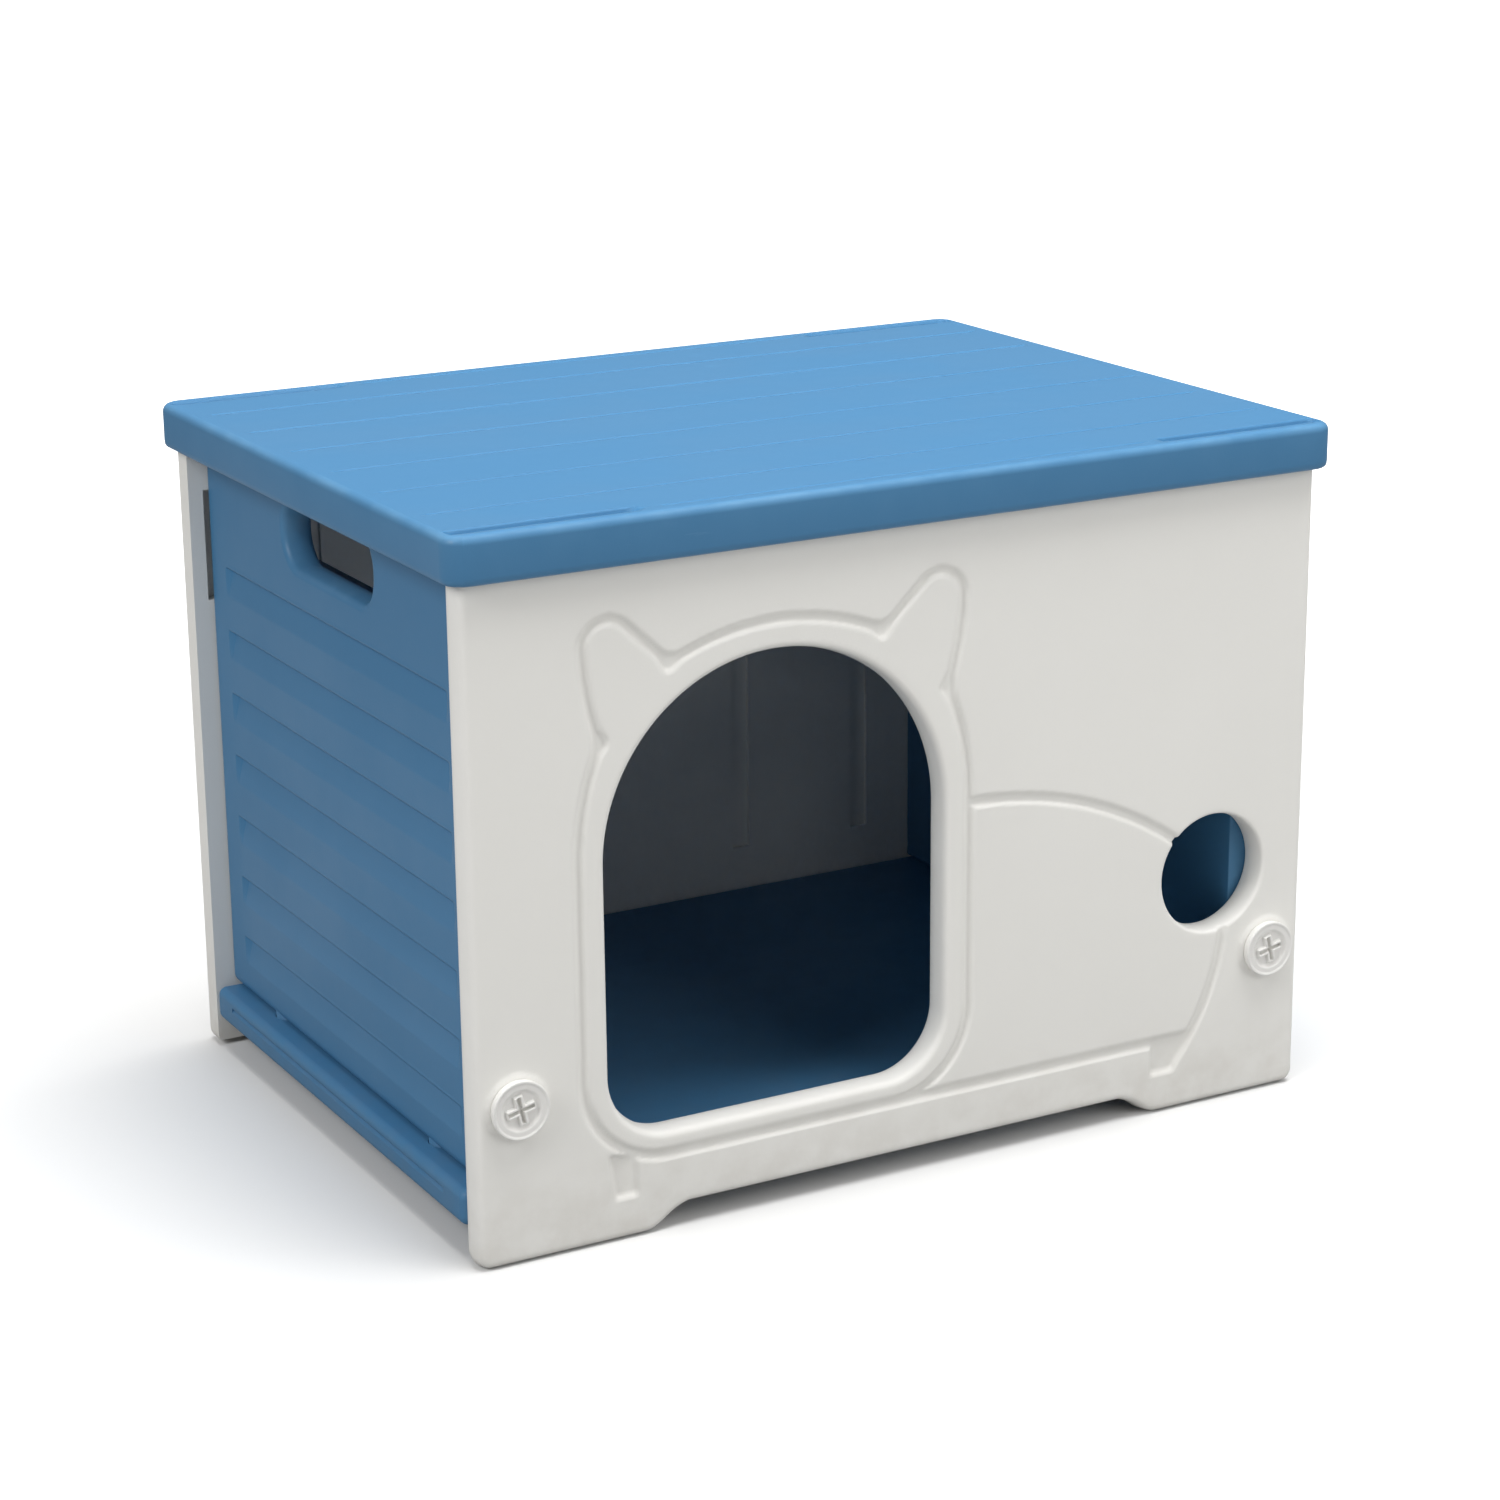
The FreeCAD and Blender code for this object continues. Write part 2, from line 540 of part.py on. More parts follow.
def cat_cutter():
    """All that the cat outline takes from the front face: a scooped groove and two legs."""
    half = size("groove_wide") / 2
    deep = size("groove_deep")
    radius = (half ** 2 + deep ** 2) / (2 * deep)
    middle = size("door_middle")
    edges = [carried(edge, middle, flip) for edge in head_outline() for flip in (1, -1)]
    bars = bars_along(edges + body_outline(), radius)
    for solid in bars:
        solid.translate(Vector(0, deep - radius - size(OUTER_FACE), 0))
    low = size("leg_low")
    chin = size("head_chin")
    inner = size("fore_inner")
    bars.append(leg((size("fore_outer"), low), (inner, low), (inner, chin),
                    (size("fore_outer"), chin + half)))
    bars.append(leg((size("hind_outer"), low), (size("hind_inner"), low),
                    (size("hind_inner"), chin), (size("hind_outer") + size("hind_lean"), chin)))
    return bars[0].multiFuse(bars[1:])


def make_front_panel():
    body = panel_blank("front_plate")
    front_openings(body)
    panel_sockets(body, "front")
    cutter = DOC.addObject("Part::Feature", "cat_cutter")
    cutter.Shape = cat_cutter()
    panel = DOC.addObject("Part::Cut", "front_panel")
    panel.Base = body
    panel.Tool = cutter
    return panel


def make_back_panel():
    """The same plate turned round, plain but for upright stiffening flutes on its inner face."""
    body = panel_blank("back_panel")
    panel_sockets(body, "back")
    for index, place in enumerate(("flute_inner", "flute_outer")):
        for side in (1, -1):
            name = "flute_%d_%s" % (index, "right" if side > 0 else "left")
            sketch = new_sketch(body, name, "XZ_Plane", INNER_FACE)
            centre = "%d * Sizes.%s" % (side, place)
            rectangle(sketch, centre + " - Sizes.flute_radius", centre + " + Sizes.flute_radius",
                      "Sizes.flute_low", "Sizes.flute_high")
            extrude(body, "Pocket", name + "_cut", sketch, "Sizes.flute_deep", flip=True)
    body.Placement = Placement(Vector(0, 0, 0), Rotation(Vector(0, 0, 1), 180))
    return body


# ---------------------------------------------------------------- side panels
def make_side_panel(name, turned):
    """A clapboard wall, drawn on the left; the right one is the same piece turned round."""
    body = DOC.addObject("PartDesign::Body", name)
    outer = "-(%s)" % SIDE_OUTER
    inner = "-(%s)" % SIDE_INNER
    middle = "-(%s)" % SIDE_MIDDLE
    length = "2 * (%s)" % WALL_END
    wall = new_sketch(body, name + "_section", "XZ_Plane")
    rectangle(wall, outer, inner, "Sizes.floor_top", WALL_TOP)
    extrude(body, "Pad", name + "_wall", wall, length, both_ways=True)

    def toe(edge):
        box = bounds(edge)
        low = lies_at(box.ZMin, box.ZMax, size("floor_top"))
        return low and lies_at(box.XMin, box.XMax, -size(SIDE_OUTER))

    round_edges(body, name + "_toe", "Sizes.side_toe", toe)

    tongue = new_sketch(body, name + "_tongue", "XZ_Plane")
    rectangle(tongue, middle + " - Sizes.tongue_thick / 2", middle + " + Sizes.tongue_thick / 2",
              "Sizes.tongue_low + Sizes.fit_gap", "Sizes.tongue_high - Sizes.fit_gap")
    extrude(body, "Pad", name + "_tongues", tongue,
            "2 * (%s + Sizes.tongue_long)" % INNER_FACE, both_ways=True)

    peg = new_sketch(body, name + "_peg", "XY_Plane", "Sizes.floor_top - Sizes.peg_long")
    for sign in ("", "-"):
        circle(peg, "-(%s)" % PEG_PLACE, "%sSizes.peg_spread" % sign, "Sizes.peg_radius")
    extrude(body, "Pad", name + "_pegs", peg, "Sizes.peg_long + Sizes.side_toe / 2")

    grip = new_sketch(body, name + "_grip", "YZ_Plane", inner)
    rectangle(grip, "-Sizes.grip_long / 2", "Sizes.grip_long / 2", "Sizes.grip_low",
              "Sizes.grip_high")
    extrude(body, "Pocket", name + "_hand_slot", grip, "Sizes.side_thick")

    def grip_corner(edge):
        box = bounds(edge)
        level = any(lies_at(box.ZMin, box.ZMax, size(key)) for key in ("grip_low", "grip_high"))
        return box.XLength > size("side_thick") - NEAR and level

    round_edges(body, name + "_grip_corners", "Sizes.grip_corner", grip_corner)

    def grip_rim(edge):
        box = bounds(edge)
        on_face = any(lies_at(box.XMin, box.XMax, -size(place))
                      for place in (SIDE_OUTER, SIDE_INNER))
        inside = box.ZMin > size("grip_low") - NEAR and box.ZMax < size("grip_high") + NEAR
        return on_face and inside and abs(box.Center.y) < size("grip_long") / 2 + NEAR

    round_edges(body, name + "_grip_rims", "Sizes.grip_rim", grip_rim)

    step = new_sketch(body, name + "_board", "XZ_Plane")
    polygon(step, [(outer, "Sizes.board_top"), (outer, "Sizes.board_top - Sizes.board_fade"),
                   (outer + " + Sizes.board_deep", "Sizes.board_top")])
    recess = extrude(body, "Pocket", name + "_recess", step,
                     "%s - 2 * Sizes.board_margin" % length, both_ways=True)
    boards = body.newObject("PartDesign::LinearPattern", name + "_boards")
    boards.Originals = [recess]
    boards.Direction = (origin_feature(body, "Z_Axis"), [""])
    boards.Reversed = True
    boards.setExpression("Occurrences", "Sizes.board_count")
    boards.setExpression("Length", "Sizes.board_pitch * (Sizes.board_count - 1)")
    body.Tip = boards
    DOC.recompute()

    for side in (1, -1):
        tag = name + ("_back" if side > 0 else "_front")
        end = "%d * (%s)" % (-side, WALL_END)
        bore = new_sketch(body, tag + "_bore", "XZ_Plane", end)
        circle(bore, middle, "Sizes.screw_height", "Sizes.shank_radius + Sizes.shank_gap")
        extrude(body, "Pocket", tag + "_screw_pocket", bore,
                "Sizes.shank_long - Sizes.panel_thick + Sizes.fit_gap", flip=side > 0)
    if turned:
        body.Placement = Placement(Vector(0, 0, 0), Rotation(Vector(0, 0, 1), 180))
    return body


# ---------------------------------------------------------------- floor
def make_floor_panel():
    """A flat plate with tabs at its ends, four peg holes and a line along each side."""
    body = DOC.addObject("PartDesign::Body", "floor_panel")
    half = "Sizes.panel_width / 2"
    plate = new_sketch(body, "floor_outline", "XY_Plane", "Sizes.floor_low")
    rectangle(plate, "-(%s)" % half, half, "-(%s)" % WALL_END, WALL_END)
    extrude(body, "Pad", "floor_plate", plate, "Sizes.floor_top - Sizes.floor_low")

    def upright(edge):
        return bounds(edge).ZLength > size("floor_top") - size("floor_low") - NEAR

    round_edges(body, "floor_corners", "Sizes.floor_corner", upright)

    def rim(edge):
        box = bounds(edge)
        return any(lies_at(box.ZMin, box.ZMax, size(key)) for key in ("floor_top", "floor_low"))

    round_edges(body, "floor_rims", "Sizes.floor_round", rim)

    tab = new_sketch(body, "floor_tab_section", "XZ_Plane")
    for sign in ("", "-"):
        centre = "%sSizes.tab_reach" % sign
        rectangle(tab, centre + " - Sizes.tab_wide / 2", centre + " + Sizes.tab_wide / 2",
                  FLOOR_MIDDLE + " - Sizes.tab_thick / 2", FLOOR_MIDDLE + " + Sizes.tab_thick / 2")
    extrude(body, "Pad", "floor_tabs", tab, "2 * (%s + Sizes.tab_long)" % INNER_FACE,
            both_ways=True)

    hole = new_sketch(body, "floor_peg_holes", "XY_Plane", "Sizes.floor_top")
    for across in ("", "-"):
        for along in ("", "-"):
            circle(hole, "%s(%s)" % (across, PEG_PLACE), "%sSizes.peg_spread" % along,
                   "Sizes.peg_radius + Sizes.peg_gap")
    extrude(body, "Pocket", "floor_peg_sockets", hole, "Sizes.peg_long + Sizes.fit_gap")

    line = new_sketch(body, "floor_line_section", "XZ_Plane")
    low = FLOOR_MIDDLE + " + Sizes.rail_wide / 4"
    for sign in (1, -1):
        edge = "%d * (%s)" % (sign, half)
        root = "%d * (%s - Sizes.rail_deep)" % (sign, half)
        polygon(line, [(edge, low), (root, low + " + Sizes.rail_wide / 2"),
                       (edge, low + " + Sizes.rail_wide")])
    extrude(body, "Pocket", "floor_lines", line, "2 * (%s - Sizes.board_margin)" % WALL_END,
            both_ways=True)
    return body


# ---------------------------------------------------------------- lid
def make_lid():
    """A thick lid whose rim hangs round the walls and whose middle drops between them."""
    body = DOC.addObject("PartDesign::Body", "lid")
    half_x = "(Sizes.panel_width / 2 + Sizes.lid_side)"
    half_y = "(%s + Sizes.lid_front)" % OUTER_FACE
    block = new_sketch(body, "lid_outline", "XY_Plane", LID_LOW)
    rectangle(block, "-" + half_x, half_x, "-" + half_y, half_y)
    extrude(body, "Pad", "lid_block", block, "Sizes.lid_tall")

    def upright(edge):
        return bounds(edge).ZLength > size("lid_tall") - NEAR

    def at_height(formula):
        def test(edge):
            return lies_at(bounds(edge).ZMin, bounds(edge).ZMax, size(formula))
        return test

    round_edges(body, "lid_corners", "Sizes.lid_corner", upright)
    round_edges(body, "lid_top_round", "Sizes.lid_round", at_height("Sizes.house_height"))
    round_edges(body, "lid_hem_round", "Sizes.lid_hem", at_height(LID_LOW))

    channel = new_sketch(body, "lid_channel", "XY_Plane", LID_LOW)
    outer_x = "(Sizes.panel_width / 2 + Sizes.lid_gap)"
    outer_y = "(%s + Sizes.lid_gap)" % OUTER_FACE
    inner_x = "(%s - Sizes.lid_gap)" % SIDE_INNER
    inner_y = "(%s - Sizes.lid_gap)" % INNER_FACE
    rectangle(channel, "-" + outer_x, outer_x, "-" + outer_y, outer_y)
    rectangle(channel, "-" + inner_x, inner_x, "-" + inner_y, inner_y)
    extrude(body, "Pocket", "lid_wall_channel", channel, "Sizes.lid_tall - Sizes.lid_deck",
            flip=True)
    relief = new_sketch(body, "lid_plug_relief", "XY_Plane", LID_LOW)
    rectangle(relief, "-" + inner_x, inner_x, "-" + inner_y, inner_y)
    extrude(body, "Pocket", "lid_plug_face", relief,
            "Sizes.lid_tall - Sizes.lid_deck - Sizes.plug_drop", flip=True)

    lines = new_sketch(body, "lid_line_outlines", "XY_Plane", "Sizes.house_height")
    count = int(size("lid_line_count"))
    for index in range(count):
        place = "Sizes.lid_line_pitch * %.1f" % (index - (count - 1) / 2)
        stadium(lines, "-Sizes.lid_line_end", "Sizes.lid_line_end", place,
                "Sizes.lid_line_wide / 2")
    extrude(body, "Pocket", "lid_lines", lines, "Sizes.lid_line_deep")

    slots = new_sketch(body, "lid_slot_outlines", "XY_Plane", "Sizes.house_height")
    middle = "(%s - Sizes.foot_thick / 2)" % OUTER_FACE
    half_slot = "(Sizes.foot_thick / 2 + Sizes.stack_slack)"
    for along in ("", "-"):
        stadium(slots, "Sizes.stack_inner", "Sizes.stack_outer", along + middle, half_slot)
        stadium(slots, "-Sizes.stack_outer", "-Sizes.stack_inner", along + middle, half_slot)
    extrude(body, "Pocket", "lid_stacking_slots", slots, "Sizes.stack_deep")

    links = new_sketch(body, "lid_link_outlines", "XY_Plane", "Sizes.house_height")
    for along in ("", "-"):
        stadium(links, "-Sizes.stack_inner + Sizes.lid_corner",
                "Sizes.stack_inner - Sizes.lid_corner", along + middle, "Sizes.lid_line_wide / 2")
    extrude(body, "Pocket", "lid_links", links, "Sizes.lid_line_deep")
    return body


# ---------------------------------------------------------------- screws
def make_screw(name, across, back):
    """A large plastic screw: dished head with a ribbed cross, threaded shank."""
    body = DOC.addObject("PartDesign::Body", name)
    under = "-Sizes.boss_tall"
    face = "-(Sizes.boss_tall + Sizes.head_thick)"
    ring = face + " + Sizes.head_sink"
    dish = face + " + Sizes.dish_deep"
    profile = new_sketch(body, name + "_profile", "XY_Plane")
    polygon(profile, [
        ("0", dish),
        ("Sizes.dish_radius - Sizes.dish_deep", dish),
        ("Sizes.dish_radius", ring),
        ("Sizes.head_radius - Sizes.head_rim", ring),
        ("Sizes.head_radius - Sizes.head_rim / 2", face),
        ("Sizes.head_radius", face + " + Sizes.head_rim"),
        ("Sizes.head_radius - Sizes.head_sink", under),
        ("Sizes.shank_radius", under),
        ("Sizes.shank_radius", "Sizes.neck_long"),
        ("Sizes.core_radius", "Sizes.neck_long"),
        ("Sizes.core_radius", "Sizes.shank_long - Sizes.tip_bevel"),
        ("Sizes.core_radius - Sizes.tip_bevel", "Sizes.shank_long"),
        ("0", "Sizes.shank_long")])
    turned = body.newObject("PartDesign::Revolution", name + "_turned")
    turned.Profile = profile
    turned.ReferenceAxis = (profile, ["V_Axis"])
    turned.Angle = 360
    DOC.recompute()

    ribs = new_sketch(body, name + "_ribs", "XZ_Plane", "Sizes.boss_tall + Sizes.head_thick")
    wide = "Sizes.cross_slot / 2 + Sizes.cross_rib"
    cross_outline(ribs, wide, "Sizes.cross_long")
    extrude(body, "Pad", name + "_rib_pad", ribs, "Sizes.dish_deep + Sizes.head_sink", flip=True)
    slot = new_sketch(body, name + "_slot", "XZ_Plane", "Sizes.boss_tall + Sizes.head_thick")
    cross_outline(slot, "Sizes.cross_slot / 2", "Sizes.cross_reach")
    extrude(body, "Pocket", name + "_slot_cut", slot, "Sizes.cross_deep")

    tooth = new_sketch(body, name + "_tooth", "XY_Plane")
    root = "Sizes.core_radius - Sizes.thread_sink"
    flank = "Sizes.thread_start + (Sizes.thread_root - Sizes.thread_crest) / 2"
    polygon(tooth, [(root, "Sizes.thread_start"),
                    (root, "Sizes.thread_start + Sizes.thread_root"),
                    ("Sizes.shank_radius", flank + " + Sizes.thread_crest"),
                    ("Sizes.shank_radius", flank)])
    thread = body.newObject("PartDesign::AdditiveHelix", name + "_thread")
    thread.Profile = tooth
    thread.ReferenceAxis = (tooth, ["V_Axis"])
    thread.Mode = 1
    thread.setExpression("Pitch", "Sizes.thread_pitch")
    thread.setExpression("Turns", "Sizes.thread_turns")
    DOC.recompute()

    turn = Rotation(Vector(0, 1, 0), -size("cross_tilt"))
    if back:
        turn = Rotation(Vector(0, 0, 1), 180) * turn
    body.Placement = Placement(Vector(0, 0, 0), turn)
    sign = 1 if back else -1
    body.setExpression("Placement.Base.x", "%d * (%s)" % (across, SIDE_MIDDLE))
    body.setExpression("Placement.Base.y", "%d * (%s)" % (sign, OUTER_FACE))
    body.setExpression("Placement.Base.z", "Sizes.screw_height")
    return body


def cross_outline(sketch, half_wide, reach):
    """A plus sign as one twelve-sided outline."""
    arm = [(reach, half_wide), (half_wide, half_wide), (half_wide, reach)]
    corners = []
    for turn in range(4):
        for across, up in arm:
            for _ in range(turn):
                across, up = "-(%s)" % up, across
            corners.append((across, up))
    polygon(sketch, corners)


# ---------------------------------------------------------------- build, check and write
def build():
    pieces = [
        make_front_panel(),
        make_back_panel(),
        make_side_panel("left_side_panel", turned=False),
        make_side_panel("right_side_panel", turned=True),
        make_floor_panel(),
        make_lid(),
        make_screw("front_left_screw", -1, back=False),
        make_screw("front_right_screw", 1, back=False),
        make_screw("back_left_screw", -1, back=True),
        make_screw("back_right_screw", 1, back=True),
    ]
    for piece in pieces:
        piece.Label = piece.Name
    DOC.recompute()
    failed = [item.Name for item in DOC.Objects
              if "Invalid" in item.State or "Error" in item.State]
    if failed:
        raise ValueError("failed objects: " + ", ".join(failed))
    os.makedirs("parts", exist_ok=True)
    for piece in pieces:
        shape = piece.Shape
        if shape.isNull() or not shape.isValid() or len(shape.Solids) != 1:
            raise ValueError(piece.Label + " is not one valid solid")
        shape.exportStep("parts/%s.step" % piece.Label)
        print("%-18s %8.1f cm3" % (piece.Label, shape.Volume / 1000.0))


build()
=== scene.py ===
# %% [markdown]
# # A flat-pack pet house in moulded plastic
# The house is ten pieces: an off-white front and back panel on their own feet, two blue clapboard
# sides, a blue floor, a blue lid and four big plastic screws. Their sizes and joints come from a
# packed engineering model, which is loaded first and never moved. This lesson adds what that model
# lacks: the soft, slightly uneven skin of blow-moulded plastic, its finishes, a studio and a camera.

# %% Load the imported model
import math

import bmesh
import bpy
import numpy as np
from mathutils import Matrix, Vector


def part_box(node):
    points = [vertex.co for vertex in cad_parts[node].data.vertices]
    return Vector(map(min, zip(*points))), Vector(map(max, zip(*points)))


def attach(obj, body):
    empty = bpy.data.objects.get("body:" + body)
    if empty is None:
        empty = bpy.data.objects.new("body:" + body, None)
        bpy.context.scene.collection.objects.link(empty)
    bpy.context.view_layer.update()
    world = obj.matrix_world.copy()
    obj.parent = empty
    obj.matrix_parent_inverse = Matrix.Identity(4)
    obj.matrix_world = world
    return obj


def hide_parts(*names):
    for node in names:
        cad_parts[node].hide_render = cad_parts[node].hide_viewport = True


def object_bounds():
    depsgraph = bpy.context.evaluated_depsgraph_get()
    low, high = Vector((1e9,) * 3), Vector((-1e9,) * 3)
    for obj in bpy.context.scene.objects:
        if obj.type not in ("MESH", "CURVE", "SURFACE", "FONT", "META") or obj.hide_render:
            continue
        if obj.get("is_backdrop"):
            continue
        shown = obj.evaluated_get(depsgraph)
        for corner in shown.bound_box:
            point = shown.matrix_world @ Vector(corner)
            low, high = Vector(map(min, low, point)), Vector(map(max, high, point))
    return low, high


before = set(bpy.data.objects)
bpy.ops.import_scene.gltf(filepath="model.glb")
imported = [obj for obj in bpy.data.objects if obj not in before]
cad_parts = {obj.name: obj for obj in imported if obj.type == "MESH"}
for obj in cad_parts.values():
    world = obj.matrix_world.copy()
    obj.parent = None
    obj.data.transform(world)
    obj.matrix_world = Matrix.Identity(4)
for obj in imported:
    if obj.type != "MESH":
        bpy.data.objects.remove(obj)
cad_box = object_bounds()
print("nodes:", ", ".join(sorted(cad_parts)))
print("box of the packed model, metres:", cad_box)

# %% [markdown]
# ## Camera
# A long lens from the front left and a little above, as a catalogue picture has it. The camera's
# matrix is built from three angles: its bearing round the house, its pitch downwards, and a slight
# roll. The columns of a camera's matrix are its right, its up and its backwards directions.

# %% Camera
BEARING, PITCH, ROLL = (math.radians(turn) for turn in (-28.985, 16.727, -0.56))
PLACE = Vector((-1.0796, -1.9664, 0.8941))
LENS, SENSOR = 84.45, 36.0


def camera_matrix():
    """Right and up are square to the view direction, then turned about it by the roll."""
    back = Vector((math.sin(BEARING) * math.cos(PITCH), -math.cos(BEARING) * math.cos(PITCH),
                   math.sin(PITCH)))
    right = (-back).cross(Vector((0, 0, 1))).normalized()
    up = right.cross(-back)
    tilted_right = right * math.cos(ROLL) + up * math.sin(ROLL)
    tilted_up = up * math.cos(ROLL) - right * math.sin(ROLL)
    turn = Matrix((tilted_right, tilted_up, back)).transposed().to_4x4()
    return Matrix.Translation(PLACE) @ turn


camera_data = bpy.data.cameras.new("catalogue_camera")
camera_data.lens = LENS
camera_data.sensor_width = SENSOR
camera = bpy.data.objects.new("catalogue_camera", camera_data)
camera.matrix_world = camera_matrix()
bpy.context.scene.collection.objects.link(camera)
bpy.context.scene.camera = camera
print("camera at", [round(value, 3) for value in PLACE], "lens", LENS)

# %% [markdown]
# ## Studio
# A catalogue picture has the house on seamless white. Spots would give hard shadows, so three large
# area lights are used: one overhead for the bright lid, one in front and one at the left. Only the
# left one shows in highlights, so the others leave no glare in shallow marks. The floor looks white
# to the camera and gives back less light than it seems to, which keeps the inside of the house
# dark. Both the floor and the surroundings do this by telling the camera's rays from the rest.

# %% Studio floor, backdrop and lights
PAPER_SEEN, PAPER_BOUNCED = (0.85, 0.85, 0.845, 1), (0.36, 0.36, 0.36, 1)
GLOW_FROM, GLOW_TO = 0.7, 2.2
BACKDROP, SURROUNDINGS = 1.05, 0.24


def node_of(tree, kind, **settings):
    """A new shader node with its plain settings."""
    node = tree.nodes.new(kind)
    for name, value in settings.items():
        setattr(node, name, value)
    return node


def camera_sees(tree, seen, otherwise, output):
    """The camera's rays meet one shader, and all other rays meet the other."""
    path = node_of(tree, "ShaderNodeLightPath")
    choose = node_of(tree, "ShaderNodeMixShader")
    out = node_of(tree, output)
    tree.links.new(path.outputs["Is Camera Ray"], choose.inputs[0])
    tree.links.new(otherwise.outputs[0], choose.inputs[1])
    tree.links.new(seen.outputs[0], choose.inputs[2])
    tree.links.new(choose.outputs[0], out.inputs["Surface"])


def studio_floor(half=25.0):
    """A square sheet of paper on the ground, which glows more from 0.7 m off its middle."""
    mesh = bpy.data.meshes.new("studio_floor")
    corners = [(-half, -half, 0), (half, -half, 0), (half, half, 0), (-half, half, 0)]
    mesh.from_pydata(corners, [], [(0, 1, 2, 3)])
    floor = bpy.data.objects.new("studio_floor", mesh)
    bpy.context.scene.collection.objects.link(floor)
    paper = bpy.data.materials.new("studio_paper")
    paper.use_nodes = True
    tree = paper.node_tree
    tree.nodes.clear()
    seen = node_of(tree, "ShaderNodeBsdfPrincipled")
    seen.inputs["Base Color"].default_value = PAPER_SEEN
    seen.inputs["Specular IOR Level"].default_value = 0.0
    seen.inputs["Roughness"].default_value = 1.0
    seen.inputs["Emission Color"].default_value = (1, 1, 1, 1)
    away = node_of(tree, "ShaderNodeVectorMath", operation="LENGTH")
    tree.links.new(node_of(tree, "ShaderNodeTexCoord").outputs["Object"], away.inputs[0])
    glow = node_of(tree, "ShaderNodeMapRange", interpolation_type="SMOOTHSTEP")
    glow.inputs["From Min"].default_value = GLOW_FROM
    glow.inputs["From Max"].default_value = GLOW_TO
    tree.links.new(away.outputs["Value"], glow.inputs["Value"])
    tree.links.new(glow.outputs["Result"], seen.inputs["Emission Strength"])
    bounced = node_of(tree, "ShaderNodeBsdfDiffuse")
    bounced.inputs["Color"].default_value = PAPER_BOUNCED
    camera_sees(tree, seen, bounced, "ShaderNodeOutputMaterial")
    mesh.materials.append(paper)
    floor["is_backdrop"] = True


def soft_light(name, place, aim, size, power, shines=True):
    """A square area light that looks from one place to another, with or without highlights."""
    data = bpy.data.lights.new(name, "AREA")
    data.shape = "SQUARE"
    data.size = size
    data.energy = power
    light = bpy.data.objects.new(name, data)
    light.location = place
    light.visible_glossy = shines
    light.rotation_euler = (Vector(aim) - Vector(place)).to_track_quat("-Z", "Y").to_euler()
    bpy.context.scene.collection.objects.link(light)


def white_surroundings():
    """Even light from all round, and plain white behind the house."""
    world = bpy.data.worlds.new("white_studio")
    world.use_nodes = True
    tree = world.node_tree
    tree.nodes.clear()
    dim = node_of(tree, "ShaderNodeBackground")
    dim.inputs["Strength"].default_value = SURROUNDINGS
    bright = node_of(tree, "ShaderNodeBackground")
    bright.inputs["Strength"].default_value = BACKDROP
    for background in (dim, bright):
        background.inputs["Color"].default_value = (1, 1, 1, 1)
    camera_sees(tree, bright, dim, "ShaderNodeOutputWorld")
    bpy.context.scene.world = world


bpy.context.scene.view_settings.view_transform = "Standard"
studio_floor()
white_surroundings()
soft_light("overhead", (0.36, -0.1, 2.6), (0, 0, 0.3), 2.2, 91, shines=False)
soft_light("front_fill", (1.5, -2.8, 1.6), (0, 0, 0.2), 2.6, 37, shines=False)
soft_light("left_fill", (-2.6, -0.7, 2.1), (0, 0, 0.25), 1.5, 46)
print("studio: floor, surroundings and three area lights")

# %% [markdown]
# ## The skin of moulded plastic
# A blow-moulded wall is cast against a finely blasted tool, then shrinks a little unevenly. So one
# node group gives every plastic here the same kind of skin: a fine grain, a slow unevenness, a faint
# drift of tone, and short scuffs from handling. It could be painted on each material by hand, but a
# group is built once and keeps the finishes alike. It puts out only heights and masks.

# %% Node group: moulded skin
def group_with(name, inputs, outputs):
    """An empty shader group: name and default of every number it takes, name of all it gives."""
    group = bpy.data.node_groups.new(name, "ShaderNodeTree")
    group.interface.new_socket("Position", in_out="INPUT", socket_type="NodeSocketVector")
    for label, number in inputs:
        socket = group.interface.new_socket(label, in_out="INPUT", socket_type="NodeSocketFloat")
        socket.default_value = number
    for label in outputs:
        group.interface.new_socket(label, in_out="OUTPUT", socket_type="NodeSocketFloat")
    return group, group.nodes.new("NodeGroupInput"), group.nodes.new("NodeGroupOutput")


def noise(tree, place, scale, detail, roughness=0.5):
    """Smooth noise of so many lumps to the metre."""
    node = node_of(tree, "ShaderNodeTexNoise")
    node.inputs["Detail"].default_value = detail
    node.inputs["Roughness"].default_value = roughness
    tree.links.new(place, node.inputs["Vector"])
    if isinstance(scale, (int, float)):
        node.inputs["Scale"].default_value = scale
    else:
        tree.links.new(scale, node.inputs["Scale"])
    return node.outputs["Fac"]


def maths(tree, kind, first, second=0.0):
    """One Math node between two sockets or numbers."""
    node = node_of(tree, "ShaderNodeMath", operation=kind)
    for slot, value in zip(node.inputs, (first, second)):
        if isinstance(value, (int, float)):
            slot.default_value = value
        else:
            tree.links.new(value, slot)
    return node.outputs[0]


def spread(tree, value, low, high, to_low=0.0, to_high=1.0):
    """Stretches the band from low to high smoothly over another band."""
    node = node_of(tree, "ShaderNodeMapRange", interpolation_type="SMOOTHSTEP")
    for label, number in (("From Min", low), ("From Max", high), ("To Min", to_low),
                          ("To Max", to_high)):
        node.inputs[label].default_value = number
    tree.links.new(value, node.inputs["Value"])
    return node.outputs["Result"]


